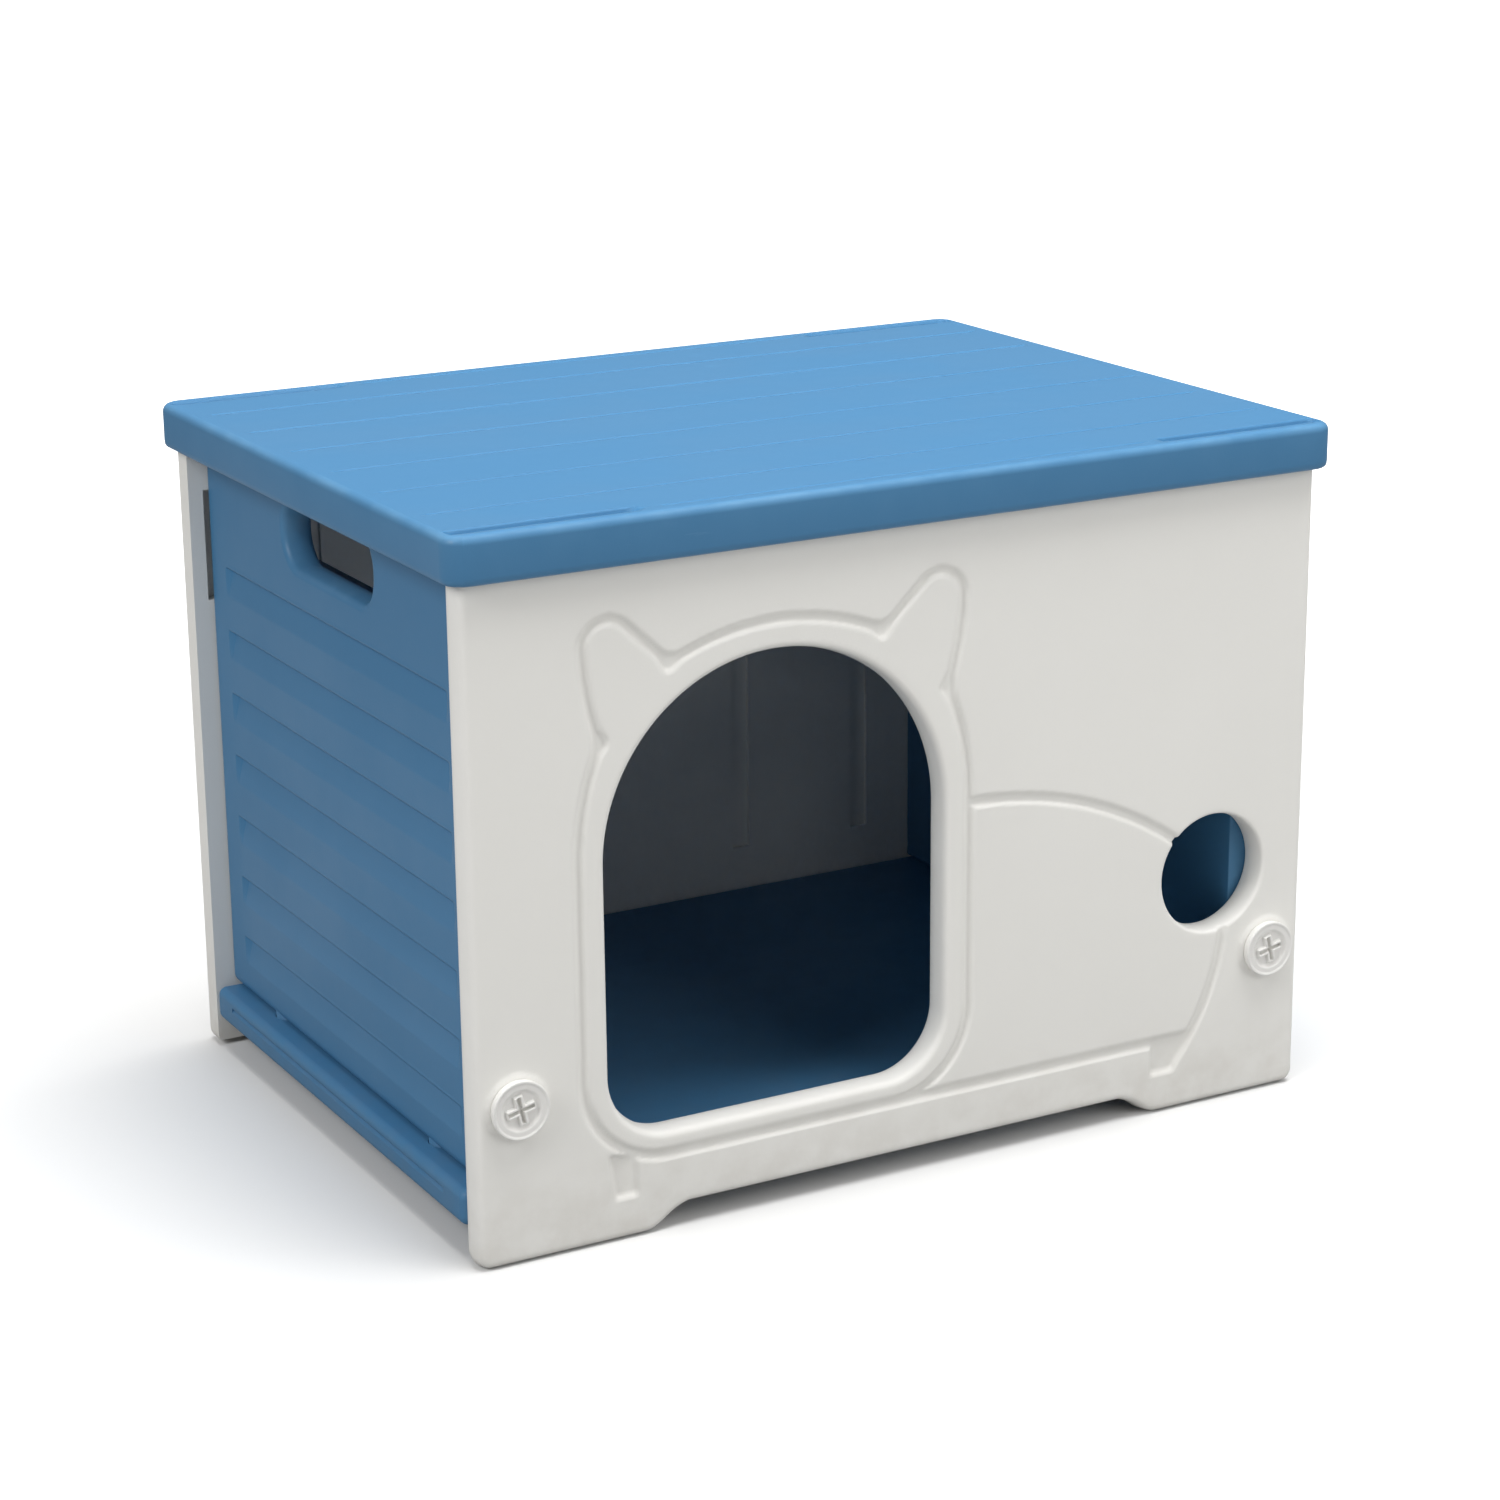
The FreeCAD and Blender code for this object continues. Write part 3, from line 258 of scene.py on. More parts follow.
def moulded_skin():
    """Height is grain and slow waves; Tone drifts from 0 to 1; Scuffs is 1 on short thin marks."""
    group, given, gives = group_with("moulded_skin", [("Grain", 1100.0), ("Waves", 42.0)],
                                     ["Height", "Tone", "Scuffs"])
    place = given.outputs["Position"]
    grain = noise(group, place, given.outputs["Grain"], 2.0)
    waves = noise(group, place, given.outputs["Waves"], 1.0)
    height = maths(group, "ADD", maths(group, "MULTIPLY", grain, 0.35), waves)
    tone = spread(group, noise(group, place, 6.5, 3.0), 0.34, 0.68)
    squeeze = node_of(group, "ShaderNodeMapping")
    squeeze.inputs["Scale"].default_value = (38.0, 46.0, 420.0)
    squeeze.inputs["Rotation"].default_value = (0.5, 0.3, 0.2)
    group.links.new(place, squeeze.inputs["Vector"])
    marks = spread(group, noise(group, squeeze.outputs[0], 1.0, 3.0, 0.6), 0.66, 0.75)
    patches = spread(group, noise(group, place, 9.0, 1.0), 0.5, 0.66)
    scuffs = maths(group, "MULTIPLY", marks, patches)
    for label, value in (("Height", height), ("Tone", tone), ("Scuffs", scuffs)):
        group.links.new(value, gives.inputs[label])
    return group


SKIN = moulded_skin()
print("moulded_skin gives", [socket.name for socket in SKIN.interface.items_tree][:3])

# %% [markdown]
# ## Dust from the ground
# A pet house stands outdoors or on a floor, so its lowest 8 cm pick up a little dust. The
# mask falls off with height and is broken up by noise. An image could hold it, but a mask worked out
# from height stays right on every piece.

# %% Node group: ground dust
DUST_REACH = 0.08


def ground_dust():
    """Dust is strongest at the ground, gone by the given height, and patchy."""
    group, given, gives = group_with("ground_dust", [("Reach", DUST_REACH)], ["Dust"])
    split = node_of(group, "ShaderNodeSeparateXYZ")
    group.links.new(given.outputs["Position"], split.inputs[0])
    level = maths(group, "DIVIDE", split.outputs["Z"], given.outputs["Reach"])
    low = spread(group, level, 0.0, 1.0, 1.0, 0.0)
    patches = spread(group, noise(group, given.outputs["Position"], 55.0, 4.0), 0.3, 0.75)
    group.links.new(maths(group, "MULTIPLY", low, patches), gives.inputs["Dust"])
    return group


DUST = ground_dust()
print("ground_dust reaches", DUST_REACH, "m")

# %% [markdown]
# ## Three plastics
# The white and the blue walls are polyethylene with a satin skin: soft highlights, no mirror. The
# screws are cast harder and shine a little more. A single colour would look like paint on a
# computer, so tone, scuffs, dust and pale rims shift the colour and the roughness by a few parts
# in a hundred. The pale rims are partly wear and partly a painted sheen where edges catch the
# light; they come from an attribute that each new piece carries.

# %% Materials
SPECULAR, RELIEF = 0.24, 0.0006
TONE_MIX, SCUFF_MIX, DUST_MIX = 0.55, 0.22, 0.3
DRIFT, SCUFF_ROUGH, DUST_ROUGH = 0.04, 0.12, 0.2


def mixed(tree, amount, first, second):
    """Colour between two colours or sockets by a mask."""
    node = node_of(tree, "ShaderNodeMix", data_type="RGBA")
    tree.links.new(amount, node.inputs["Factor"])
    for slot, value in ((node.inputs[6], first), (node.inputs[7], second)):
        if isinstance(value, tuple):
            slot.default_value = (*value, 1.0)
        else:
            tree.links.new(value, slot)
    return node.outputs[2]


def plastic(name, colour, deep, wear_and_sheen, dusty, rough, grain, bump):
    """A satin plastic: its main colour, a deeper tone, pale rims of wear and painted edge sheen,
    dust, and its roughness.
    """
    material = bpy.data.materials.new(name)
    material.use_nodes = True
    tree = material.node_tree
    tree.nodes.clear()
    place = node_of(tree, "ShaderNodeTexCoord").outputs["Object"]
    skin = node_of(tree, "ShaderNodeGroup", node_tree=SKIN)
    dust = node_of(tree, "ShaderNodeGroup", node_tree=DUST)
    skin.inputs["Grain"].default_value = grain
    for user in (skin, dust):
        tree.links.new(place, user.inputs["Position"])
    # Pale rims: worn edges and a painted sheen where the edges catch the light, from an attribute.
    rims = node_of(tree, "ShaderNodeAttribute", attribute_name="wear_and_sheen")
    wear_and_sheen_mask = maths(tree, "MULTIPLY", rims.outputs["Fac"],
                 spread(tree, noise(tree, place, 30.0, 3.0), 0.3, 0.8, 0.15, 0.6))
    tone = mixed(tree, maths(tree, "MULTIPLY", skin.outputs["Tone"], TONE_MIX), colour, deep)
    tone = mixed(tree, maths(tree, "MULTIPLY", skin.outputs["Scuffs"], SCUFF_MIX), tone, wear_and_sheen)
    tone = mixed(tree, wear_and_sheen_mask, tone, wear_and_sheen)
    tone = mixed(tree, maths(tree, "MULTIPLY", dust.outputs["Dust"], DUST_MIX), tone, dusty)
    shader = node_of(tree, "ShaderNodeBsdfPrincipled")
    shader.inputs["IOR"].default_value = 1.5
    shader.inputs["Specular IOR Level"].default_value = SPECULAR
    tree.links.new(tone, shader.inputs["Base Color"])
    gloss = spread(tree, skin.outputs["Tone"], 0.0, 1.0, rough - DRIFT, rough + DRIFT)
    for wear, amount in ((skin.outputs["Scuffs"], SCUFF_ROUGH), (dust.outputs["Dust"], DUST_ROUGH)):
        gloss = maths(tree, "ADD", gloss, maths(tree, "MULTIPLY", wear, amount))
    tree.links.new(gloss, shader.inputs["Roughness"])
    relief = node_of(tree, "ShaderNodeBump")
    relief.inputs["Strength"].default_value = bump
    relief.inputs["Distance"].default_value = RELIEF
    tree.links.new(skin.outputs["Height"], relief.inputs["Height"])
    tree.links.new(relief.outputs["Normal"], shader.inputs["Normal"])
    out = node_of(tree, "ShaderNodeOutputMaterial")
    tree.links.new(shader.outputs[0], out.inputs["Surface"])
    return material


# Colours in order: main, deeper tone, pale rims and scuffs (wear and painted edge sheen), dust.
PLASTICS = {
    "white_panel": plastic("white_polyethylene", (0.88, 0.87, 0.83), (0.855, 0.845, 0.805),
                           (0.90, 0.89, 0.86), (0.60, 0.56, 0.50), 0.44, 1100.0, 0.22),
    "blue_panel": plastic("blue_polyethylene", (0.064, 0.200, 0.372), (0.059, 0.190, 0.357),
                          (0.14, 0.31, 0.49), (0.18, 0.24, 0.31), 0.38, 1100.0, 0.22),
    "screw_plastic": plastic("white_screw_plastic", (0.86, 0.85, 0.82), (0.835, 0.825, 0.795),
                             (0.88, 0.87, 0.85), (0.56, 0.52, 0.46), 0.30, 1500.0, 0.12),
}
print("plastics:", ", ".join(material.name for material in PLASTICS.values()))

# %% [markdown]
# ## Distances that draw outlines
# Doorways, ears and hand slots are outlines with rounded corners. They could be drawn as curves and
# cut with booleans, which leaves ragged meshes and hard edges. Here each outline is a signed
# distance instead: a formula that gives, for any point, how far outside the outline it lies, with
# inside negative. Distances join with a minimum, overlap with a maximum, and soften into moulded
# walls with a smooth step. All of them take whole arrays of points, in millimetres.

# %% Distance formulas
def smooth(low, high, value):
    """0 below low, 1 above high, and 3t^2 - 2t^3 between."""
    t = np.clip((value - low) / (high - low), 0.0, 1.0)
    return t * t * (3.0 - 2.0 * t)


def box_distance(x, z, middle, half, corner):
    """Distance to a box with rounded corners: to a smaller sharp box, less the corner's radius."""
    dx = np.abs(x - middle[0]) - (half[0] - corner)
    dz = np.abs(z - middle[1]) - (half[1] - corner)
    outside = np.hypot(np.maximum(dx, 0), np.maximum(dz, 0))
    return outside + np.minimum(np.maximum(dx, dz), 0) - corner


def line_distance(x, z, start, finish):
    """Distance to a straight line: drop each point onto the line, held between its ends."""
    ax, az = finish[0] - start[0], finish[1] - start[1]
    t = np.clip(((x - start[0]) * ax + (z - start[1]) * az) / (ax * ax + az * az), 0, 1)
    return np.hypot(x - start[0] - t * ax, z - start[1] - t * az)


def arc_distance(x, z, centre, radius, first, last):
    """Distance to an arc between two angles in degrees: to its circle, or to its nearer end."""
    turn = np.degrees(np.arctan2(z - centre[1], x - centre[0]))
    middle = (first + last) / 2
    turn = (turn - middle + 180) % 360 - 180
    on_arc = np.abs(np.hypot(x - centre[0], z - centre[1]) - radius)
    ends = [np.hypot(x - centre[0] - radius * np.cos(np.radians(end)),
                     z - centre[1] - radius * np.sin(np.radians(end))) for end in (first, last)]
    return np.where(np.abs(turn) <= (last - first) / 2, on_arc, np.minimum(*ends))


def bow_distance(x, z, start, finish, bow):
    """Distance to an arc that bows out to the left of its chord: its circle from chord and bow."""
    (ax, az), (bx, bz) = start, finish
    half = math.hypot(bx - ax, bz - az) / 2
    radius = (half ** 2 + bow ** 2) / (2 * bow)
    left = (-(bz - az) / (2 * half), (bx - ax) / (2 * half))
    centre = ((ax + bx) / 2 - left[0] * (radius - bow), (az + bz) / 2 - left[1] * (radius - bow))
    first, last = (math.degrees(math.atan2(end[1] - centre[1], end[0] - centre[0]))
                   for end in (finish, start))
    return arc_distance(x, z, centre, radius, first, first + (last - first) % 360)


def quad_distance(x, z, corners):
    """Distance to a four-cornered patch, anticlockwise: the farthest of its four edge lines."""
    edges = []
    for (ax, az), (bx, bz) in zip(corners, corners[1:] + corners[:1]):
        length = math.hypot(bx - ax, bz - az)
        edges.append(((x - ax) * (bz - az) - (z - az) * (bx - ax)) / length)
    return np.max(edges, axis=0)


square = np.linspace(-2, 2, 5)
print("a box of half size 1 along x:", box_distance(square, 0 * square, (0, 0), (1, 1), 0.2).round(2))

# %% [markdown]
# ## A moulded wall from its outline
# Every large piece here is a wall: two skins some way apart, joined round its outside and round
# every opening by a rolled rim. A solidify modifier would give square rims. Instead the outer skin
# is a grid of small squares. Squares whose middle falls outside the outline are dropped, and the
# points left on the border slide onto the outline shrunk by the rim's radius. From there, rings of
# points roll over the rim, out to the parting line at mid depth, and back to the inner skin. The
# moulds meet at the parting line, so both halves of the rim lean out towards it a little.

# %% Moulded wall builder
def slide_to(outline, shrink, x, z, rounds=5):
    """Newton's step: move each point along the outline's slope by how far it is off the mark."""
    for _ in range(rounds):
        step = 0.01
        gx = (outline(x + step, z) - outline(x - step, z)) / (2 * step)
        gz = (outline(x, z + step) - outline(x, z - step)) / (2 * step)
        size = np.maximum(np.hypot(gx, gz), 1e-6)
        off = (outline(x, z) + shrink(x, z)) / size
        x, z = x - off * gx / size, z - off * gz / size
    return x, z, gx / size, gz / size


def grid_of(outline, shrink, lows, highs, cell):
    """A grid over the piece's box, and which cells have their middle inside the shrunk outline."""
    axes = [np.arange(low - 2 * step, high + 2 * step, step)
            for low, high, step in zip(lows, highs, cell)]
    x, z = np.meshgrid(*axes, indexing="ij")
    mx, mz = x[:-1, :-1] + cell[0] / 2, z[:-1, :-1] + cell[1] / 2
    kept = outline(mx, mz) + shrink(mx, mz) < 0
    return x, z, kept


def rolled_rim(inner, steps=4, draft=0.9):
    """Rings over a rim: ring k is shrink - draft times sin(turn) out and shrink times
    1 - cos(turn) deep, as far as the parting line at mid depth; then the same way back."""
    def rings(size, low, x, z):
        high = inner(x, z)
        turns = np.linspace(0, math.pi / 2, steps + 1)[1:, None]
        reach, sink = (size - draft) * np.sin(turns), size * (1 - np.cos(turns))
        way = np.sign(high - low)
        out = np.concatenate([reach, size[None], reach[::-1], 0 * size[None]])
        deep = np.concatenate([low + way * sink, (low + high)[None] / 2, high - way * sink[::-1],
                               high[None]])
        # Third value: paleness for wear and a painted edge sheen, most at the parting line.
        return out, deep, np.sin(np.linspace(0, math.pi, len(out) + 1)[1:]).clip(0) ** 0.5
    return rings


def moulded_wall(outline, shrink, outer, rim, lows, highs, cell=(1.65, 1.65)):
    """Points as (across, depth, up), faces, how pale each point is from wear and painted edge sheen,
    and the last ring's edges. outer gives the skin's depth, and rim the distances out and depths of
    the rings."""
    x, z, kept = grid_of(outline, shrink, lows, highs, cell)
    used = np.zeros(x.shape, bool)
    for i, j in ((0, 0), (1, 0), (1, 1), (0, 1)):
        used[i:x.shape[0] - 1 + i, j:x.shape[1] - 1 + j] |= kept
    number = np.full(x.shape, -1)
    number[used] = np.arange(used.sum())
    quads = np.stack([number[:-1, :-1], number[1:, :-1], number[1:, 1:], number[:-1, 1:]], -1)
    padded = np.pad(kept, 1)
    border = []
    for (i, j), ends in {(0, -1): (0, 1), (1, 0): (1, 2), (0, 1): (2, 3), (-1, 0): (3, 0)}.items():
        beyond = padded[1 + i:padded.shape[0] - 1 + i, 1 + j:padded.shape[1] - 1 + j]
        border.append(quads[kept & ~beyond][:, ends])
    border = np.concatenate(border)
    px, pz = x[used], z[used]
    edge, slot = np.unique(border, return_inverse=True)
    first, second = slot.reshape(border.shape).T
    rx, rz, gx, gz = slide_to(outline, shrink, px[edge], pz[edge])
    px[edge], pz[edge] = rx, rz
    skin = np.stack([px, outer(px, pz), pz], -1)
    out, deep, ring_wear_and_sheen = rim(shrink(rx, rz), skin[edge, 1], rx, rz)
    rings = np.stack([rx + out * gx, deep, rz + out * gz], -1)
    ring_numbers = len(skin) + np.arange(rings.shape[0] * len(edge)).reshape(rings.shape[0], -1)
    rows = np.concatenate([edge[None], ring_numbers])
    strips = np.stack([rows[:-1][:, second], rows[:-1][:, first], rows[1:][:, first],
                       rows[1:][:, second]], -1).reshape(-1, 4)
    points = np.concatenate([skin, rings.reshape(-1, 3)])
    rolled = np.concatenate([np.zeros(len(skin)), np.repeat(ring_wear_and_sheen, len(edge))])
    fill = np.stack([rows[-1][second], rows[-1][first]], -1)
    return points, [quads[kept], strips], rolled, fill


def ring_quads(rings, count):
    """Faces between rings of count points each, and the numbers along a ring and one step on."""
    here, after = np.arange(count), (np.arange(count) + 1) % count
    rows = np.arange(rings - 1)[:, None] * count
    quads = np.stack([rows + here, rows + after, rows + count + after, rows + count + here], -1)
    return quads.reshape(-1, 4), here, after


def revolved(profile, count=48):
    """A profile of (radius, height) turned about the upright axis; both its ends are at radius 0.
    A radius may be an array with one value for each step of the turn."""
    turns = np.arange(count) * 2 * math.pi / count
    rings = np.stack([np.stack([radius * np.cos(turns), radius * np.sin(turns),
                                height + 0 * turns], -1) for radius, height in profile[1:-1]])
    points = np.concatenate([rings.reshape(-1, 3), [[0, 0, profile[0][1]], [0, 0, profile[-1][1]]]])
    quads, here, after = ring_quads(len(rings), count)
    low, high, last = rings.size // 3, rings.size // 3 + 1, (len(rings) - 1) * count
    caps = np.concatenate([np.stack([np.full(count, low), after, here], -1),
                           np.stack([np.full(count, high), last + here, last + after], -1)])
    return points, [quads, caps]


def joined(parts):
    """Several (points, faces, rim paleness) as one, with face numbers moved on past earlier points.
    """
    starts = np.cumsum([0] + [len(part[0]) for part in parts])
    faces = [face + start for part, start in zip(parts, starts) for face in part[1]]
    return (np.concatenate([part[0] for part in parts]), faces,
            np.concatenate([part[2] for part in parts]))


def piece_from(name, points, faces, rolled, slot, body, stands_for, fill=None):
    """A mesh object in metres from millimetre points; the last ring is filled edge to edge."""
    mesh = bpy.data.meshes.new(name)
    mesh.from_pydata((points * 0.001).tolist(), [], sum((part.tolist() for part in faces), []))
    # A point attribute that pales the rims in the plastics: wear, and a painted edge sheen.
    mesh.attributes.new("wear_and_sheen", "FLOAT", "POINT").data.foreach_set(
        "value", np.asarray(rolled, np.float32))
    work = bmesh.new()
    work.from_mesh(mesh)
    if fill is not None:
        work.verts.ensure_lookup_table()
        edges = [work.edges.get((work.verts[a], work.verts[b])) for a, b in fill]
        bmesh.ops.triangle_fill(work, use_beauty=False, use_dissolve=False, edges=edges)
    bmesh.ops.recalc_face_normals(work, faces=work.faces)
    loose = sum(not edge.is_manifold for edge in work.edges)
    volume = work.calc_volume() * 1e6
    work.to_mesh(mesh)
    work.free()
    mesh.shade_smooth()
    mesh.materials.append(PLASTICS[slot])
    thing = bpy.data.objects.new(name, mesh)
    bpy.context.scene.collection.objects.link(thing)
    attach(thing, body)
    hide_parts(stands_for)
    triangles = sum(len(face.vertices) - 2 for face in mesh.polygons)
    print("%s: %d triangles, %d open edges, %.0f cm3" % (name, triangles, loose, volume))


def plain_depth(depth):
    """A flat skin at one depth."""
    return lambda x, z: np.full(np.shape(x), float(depth))


HALF_TURN = (-1.0, -1.0, 1.0)
print("builders: moulded_wall, revolved, joined, piece_from")

# %% [markdown]
# ## Front panel
# The real panel has an arched doorway inside the outline of a cat: two ears, the round of the head,
# a back that ends at a tail hole, and two short legs. The outline is a shallow groove with soft
# walls and a flat floor. A bump texture could fake it, but its shadows would stay flat from the
# side, so the groove is real depth: the distance to the outline's centre line, through a smooth
# step. The doorway, the tail hole and the screw holes are openings in the wall itself.

# %% Front panel: outline and openings
def mm(node):
    """A node's lowest and highest corners in millimetres."""
    return [np.array(corner) * 1000.0 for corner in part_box(node)]


FRONT_LOW, FRONT_HIGH = mm("front_panel")
WALL_HALF, WALL_TOP = FRONT_HIGH[0], FRONT_HIGH[2]
WALL_THICK, WALL_CORNER = 20.0, 9.0
FRONT_FACE, FRONT_BACK = FRONT_HIGH[1] - WALL_THICK, FRONT_HIGH[1]
FOOT_RISE, FOOT_FROM, FOOT_TO = 14.0, 157.0, 189.0
DOOR_X, DOOR_HALF, DOOR_Z, SILL_Z, SILL_CORNER = -94.0, 116.0, 237.0, 65.0, 40.0
TAIL, TAIL_RADIUS = (228.0, 159.3), 38.6
SCREW_X, SCREW_Z, SCREW_HOLE = 272.0, 100.5, 9.1
RIM, LESS_AT_SCREW, LESS_AT_TAIL = 5.0, 3.4, 2.0


def from_screw(x, z):
    """Distance to the nearer screw's axis."""
    return np.hypot(np.abs(x) - SCREW_X, z - SCREW_Z)


def from_tail(x, z):
    """Distance to the tail hole's middle."""
    return np.hypot(x - TAIL[0], z - TAIL[1])


def foot_edge(x, z):
    """Height of a point below the panel's bottom edge, which rises 14 mm between the feet."""
    rise = FOOT_RISE * (1.0 - smooth(FOOT_FROM, FOOT_TO, np.abs(x)))
    share = rise / FOOT_RISE
    slope = FOOT_RISE * 1.5 / (FOOT_TO - FOOT_FROM) * (4.0 * share * (1.0 - share))
    return (rise - z) / np.sqrt(1.0 + slope ** 2)


def doorway(x, z):
    """A circle above the arch's centre, and a box with round lower corners below it."""
    arch = np.hypot(x - DOOR_X, z - DOOR_Z) - DOOR_HALF
    taller = 200.0
    middle = (DOOR_X, (SILL_Z + DOOR_Z) / 2 + taller)
    low = box_distance(x, z, middle, (DOOR_HALF, (DOOR_Z - SILL_Z) / 2 + taller), SILL_CORNER)
    return np.where(z > DOOR_Z, arch, low)


def panel_outline(x, z):
    """The rounded rectangle of the wall, above its feet, less the holes for the screws."""
    wall = box_distance(x, z, (0, WALL_TOP / 2), (WALL_HALF, WALL_TOP / 2), WALL_CORNER)
    return np.maximum.reduce([wall, foot_edge(x, z), SCREW_HOLE - from_screw(x, z)])


def front_outline(x, z):
    """The wall less the doorway and the tail hole."""
    return np.maximum.reduce([panel_outline(x, z), -doorway(x, z), TAIL_RADIUS - from_tail(x, z)])


def rim_size(x, z):
    """Rims are 5 mm round, 3 mm at the tail hole, nearly sharp at the screw holes under the heads."""
    near_screw = smooth(22.0, 14.0, from_screw(x, z))
    near_tail = smooth(64.0, 46.0, from_tail(x, z))
    return RIM - LESS_AT_SCREW * near_screw - LESS_AT_TAIL * near_tail * (1.0 - near_screw)


print("front panel", (FRONT_HIGH - FRONT_LOW).round(1), "mm, doorway", 2 * DOOR_HALF, "mm wide")

# %% Front panel: the cat's outline as depth
HEAD_HALF, CHIN_Z, JAW = 134.5, 50.0, 56.0
LOW_NOTCH, HIGH_NOTCH, CROWN = (118.6, 313.6), (72.5, 355.5), 166.0
EAR, EAR_ROUND, EAR_FROM, EAR_TO = (112.6, 370.0), 17.0, 6, 133.2
GROOVE_HALF, GROOVE_DEEP, BLEND = 2.6, 2.5, 8.0
BOSS, BOSS_FLAT, BOSS_ROLL = 1.3, 18.6, 2.2


def on_ear(turn):
    """A point of the ear tip's circle at an angle in degrees."""
    return (EAR[0] + EAR_ROUND * math.cos(math.radians(turn)),
            EAR[1] + EAR_ROUND * math.sin(math.radians(turn)))


def soft_union(one, other, reach):
    """The lesser of two distances, let down where they are close: -reach * h * (1 - h)."""
    h = np.clip(0.5 + 0.5 * (other - one) / reach, 0, 1)
    return other + (one - other) * h - reach * h * (1 - h)


def cat_lines(x, z):
    """Distance to the nearest centre line; the head is the same on both sides of the doorway."""
    side = np.abs(x - DOOR_X)
    jaw = (HEAD_HALF - JAW, CHIN_Z + JAW)
    crown_turn = math.degrees(math.acos(HIGH_NOTCH[0] / CROWN))
    crown_z = HIGH_NOTCH[1] - CROWN * math.sin(math.radians(crown_turn))
    head = np.minimum.reduce([
        line_distance(side, z, (0, CHIN_Z), (jaw[0], CHIN_Z)),
        arc_distance(side, z, jaw, JAW, -90, 0),
        line_distance(side, z, (HEAD_HALF, jaw[1]), (HEAD_HALF, DOOR_Z)),
        bow_distance(side, z, LOW_NOTCH, (HEAD_HALF, DOOR_Z), 4.3),
        arc_distance(side, z, (0, crown_z), CROWN, crown_turn, 90),
    ])
    ears = np.minimum.reduce([
        bow_distance(side, z, on_ear(EAR_FROM), LOW_NOTCH, 2.3),
        arc_distance(side, z, EAR, EAR_ROUND, EAR_FROM, EAR_TO),
        line_distance(side, z, on_ear(EAR_TO), HIGH_NOTCH),
    ])
    body = np.minimum.reduce([
        bow_distance(x, z, (DOOR_X + HEAD_HALF, DOOR_Z), (199.3, 185.1), 13.5),
        bow_distance(x, z, (237.3, 121.8), (197.6, 30.6), 8.0),
        line_distance(x, z, (DOOR_X + jaw[0], CHIN_Z), (197.0, CHIN_Z)),
    ])
    return np.minimum(soft_union(head, ears, BLEND), body)


def cat_depth(x, z):
    """Depth of groove and legs: 2.5 mm inside their edges, with walls that slope over 2 mm."""
    fore = quad_distance(x, z, [(-208.5, 28), (-193.7, 28), (-193.7, 52.5), (-212.0, 56)])
    hind = quad_distance(x, z, [(182.5, 28), (200.3, 28), (212.5, 52.5), (182.5, 52.5)])
    edge = np.minimum.reduce([cat_lines(x, z) - GROOVE_HALF, fore, hind])
    return GROOVE_DEEP * (1.0 - smooth(-1.0, 1.0, edge))


def bosses(x, z):
    """A low round boss under each screw head, 1.3 mm high and rolled off over its last 2.2 mm."""
    over = np.clip(from_screw(x, z) - BOSS_FLAT, 0, BOSS_ROLL) / BOSS_ROLL
    return BOSS * np.sqrt(np.clip(1.0 - over ** 2, 0, 1))


def slow_waves(x, z):
    """The wall's unevenness: three slow sine waves of a tenth of a millimetre."""
    return 0.10 * (np.sin(x / 47 + 1.3) * np.sin(z / 61) + np.sin(x / 83 - z / 71) +
                   0.6 * np.sin(x / 29 + z / 37 + 2.0))


def front_skin(x, z):
    """Depth of the outer face: in for the groove, out for the bosses, and slow unevenness."""
    calm = smooth(0.0, 14.0, -panel_outline(x, z))
    return FRONT_FACE + cat_depth(x, z) - bosses(x, z) + calm * slow_waves(x, z)


wall = moulded_wall(front_outline, rim_size, front_skin, rolled_rim(plain_depth(FRONT_BACK)),
                    (FRONT_LOW[0], 0), (FRONT_HIGH[0], WALL_TOP))
piece_from("front_panel_moulded", *wall[:3], "white_panel", "house", "front_panel", fill=wall[3])

# %% [markdown]
# ## Side panels
# Each side is a clapboard wall with a hand slot. Under every board's edge the wall steps in and
# then runs out again over a few centimetres, which is what makes boards out of one sheet of
# plastic. Separate boards would be quicker to model, but the real wall is one moulding, and its
# recesses end in small walls before they reach the panel's ends. The slot's rim funnels in to the
# parting line, so its middle is narrower than its mouths. The right side is the left one turned
# round half a turn, so its points are worked out the same way and then turned.

# %% Side panels
SIDE_LOW, SIDE_HIGH = mm("left_side_panel")
SIDE_OUT, SIDE_IN, SIDE_END = SIDE_LOW[0], SIDE_HIGH[0], 202.7
SIDE_BOTTOM, SIDE_TOP = 44.4, SIDE_HIGH[2]
BOARD_EDGES = 345.0 - 43.0 * np.arange(7)
BOARD_DEEP, BOARD_RUN, LIP = 3.8, 19.5, 0.25
SLOT_MIDDLE, SLOT_HALF, SLOT_CORNER, PINCH = (0.0, 392.0), (69.0, 21.0), 20.0, 13.0
SIDE_RIM, MORE_AT_SLOT, FOOT_ROLL = 2.0, 4.2, 8.0
PEG, PEG_X, PEG_Y = 11.0, -275.0, 125.0


def hand_slot(y, z):
    """Distance to the hand slot, whose corners have a 20 mm radius."""
    return box_distance(y, z, SLOT_MIDDLE, SLOT_HALF, SLOT_CORNER)


def side_outline(y, z):
    """The wall's rectangle less the hand slot."""
    middle = (0.0, (SIDE_TOP + SIDE_BOTTOM) / 2)
    wall = box_distance(y, z, middle, (SIDE_END, (SIDE_TOP - SIDE_BOTTOM) / 2), 3.0)
    return np.maximum(wall, -hand_slot(y, z))


def side_rim(y, z):
    """6 mm round the slot, and 2 mm at the ends, the top and the foot."""
    return SIDE_RIM + MORE_AT_SLOT * smooth(16.0, 4.0, hand_slot(y, z))


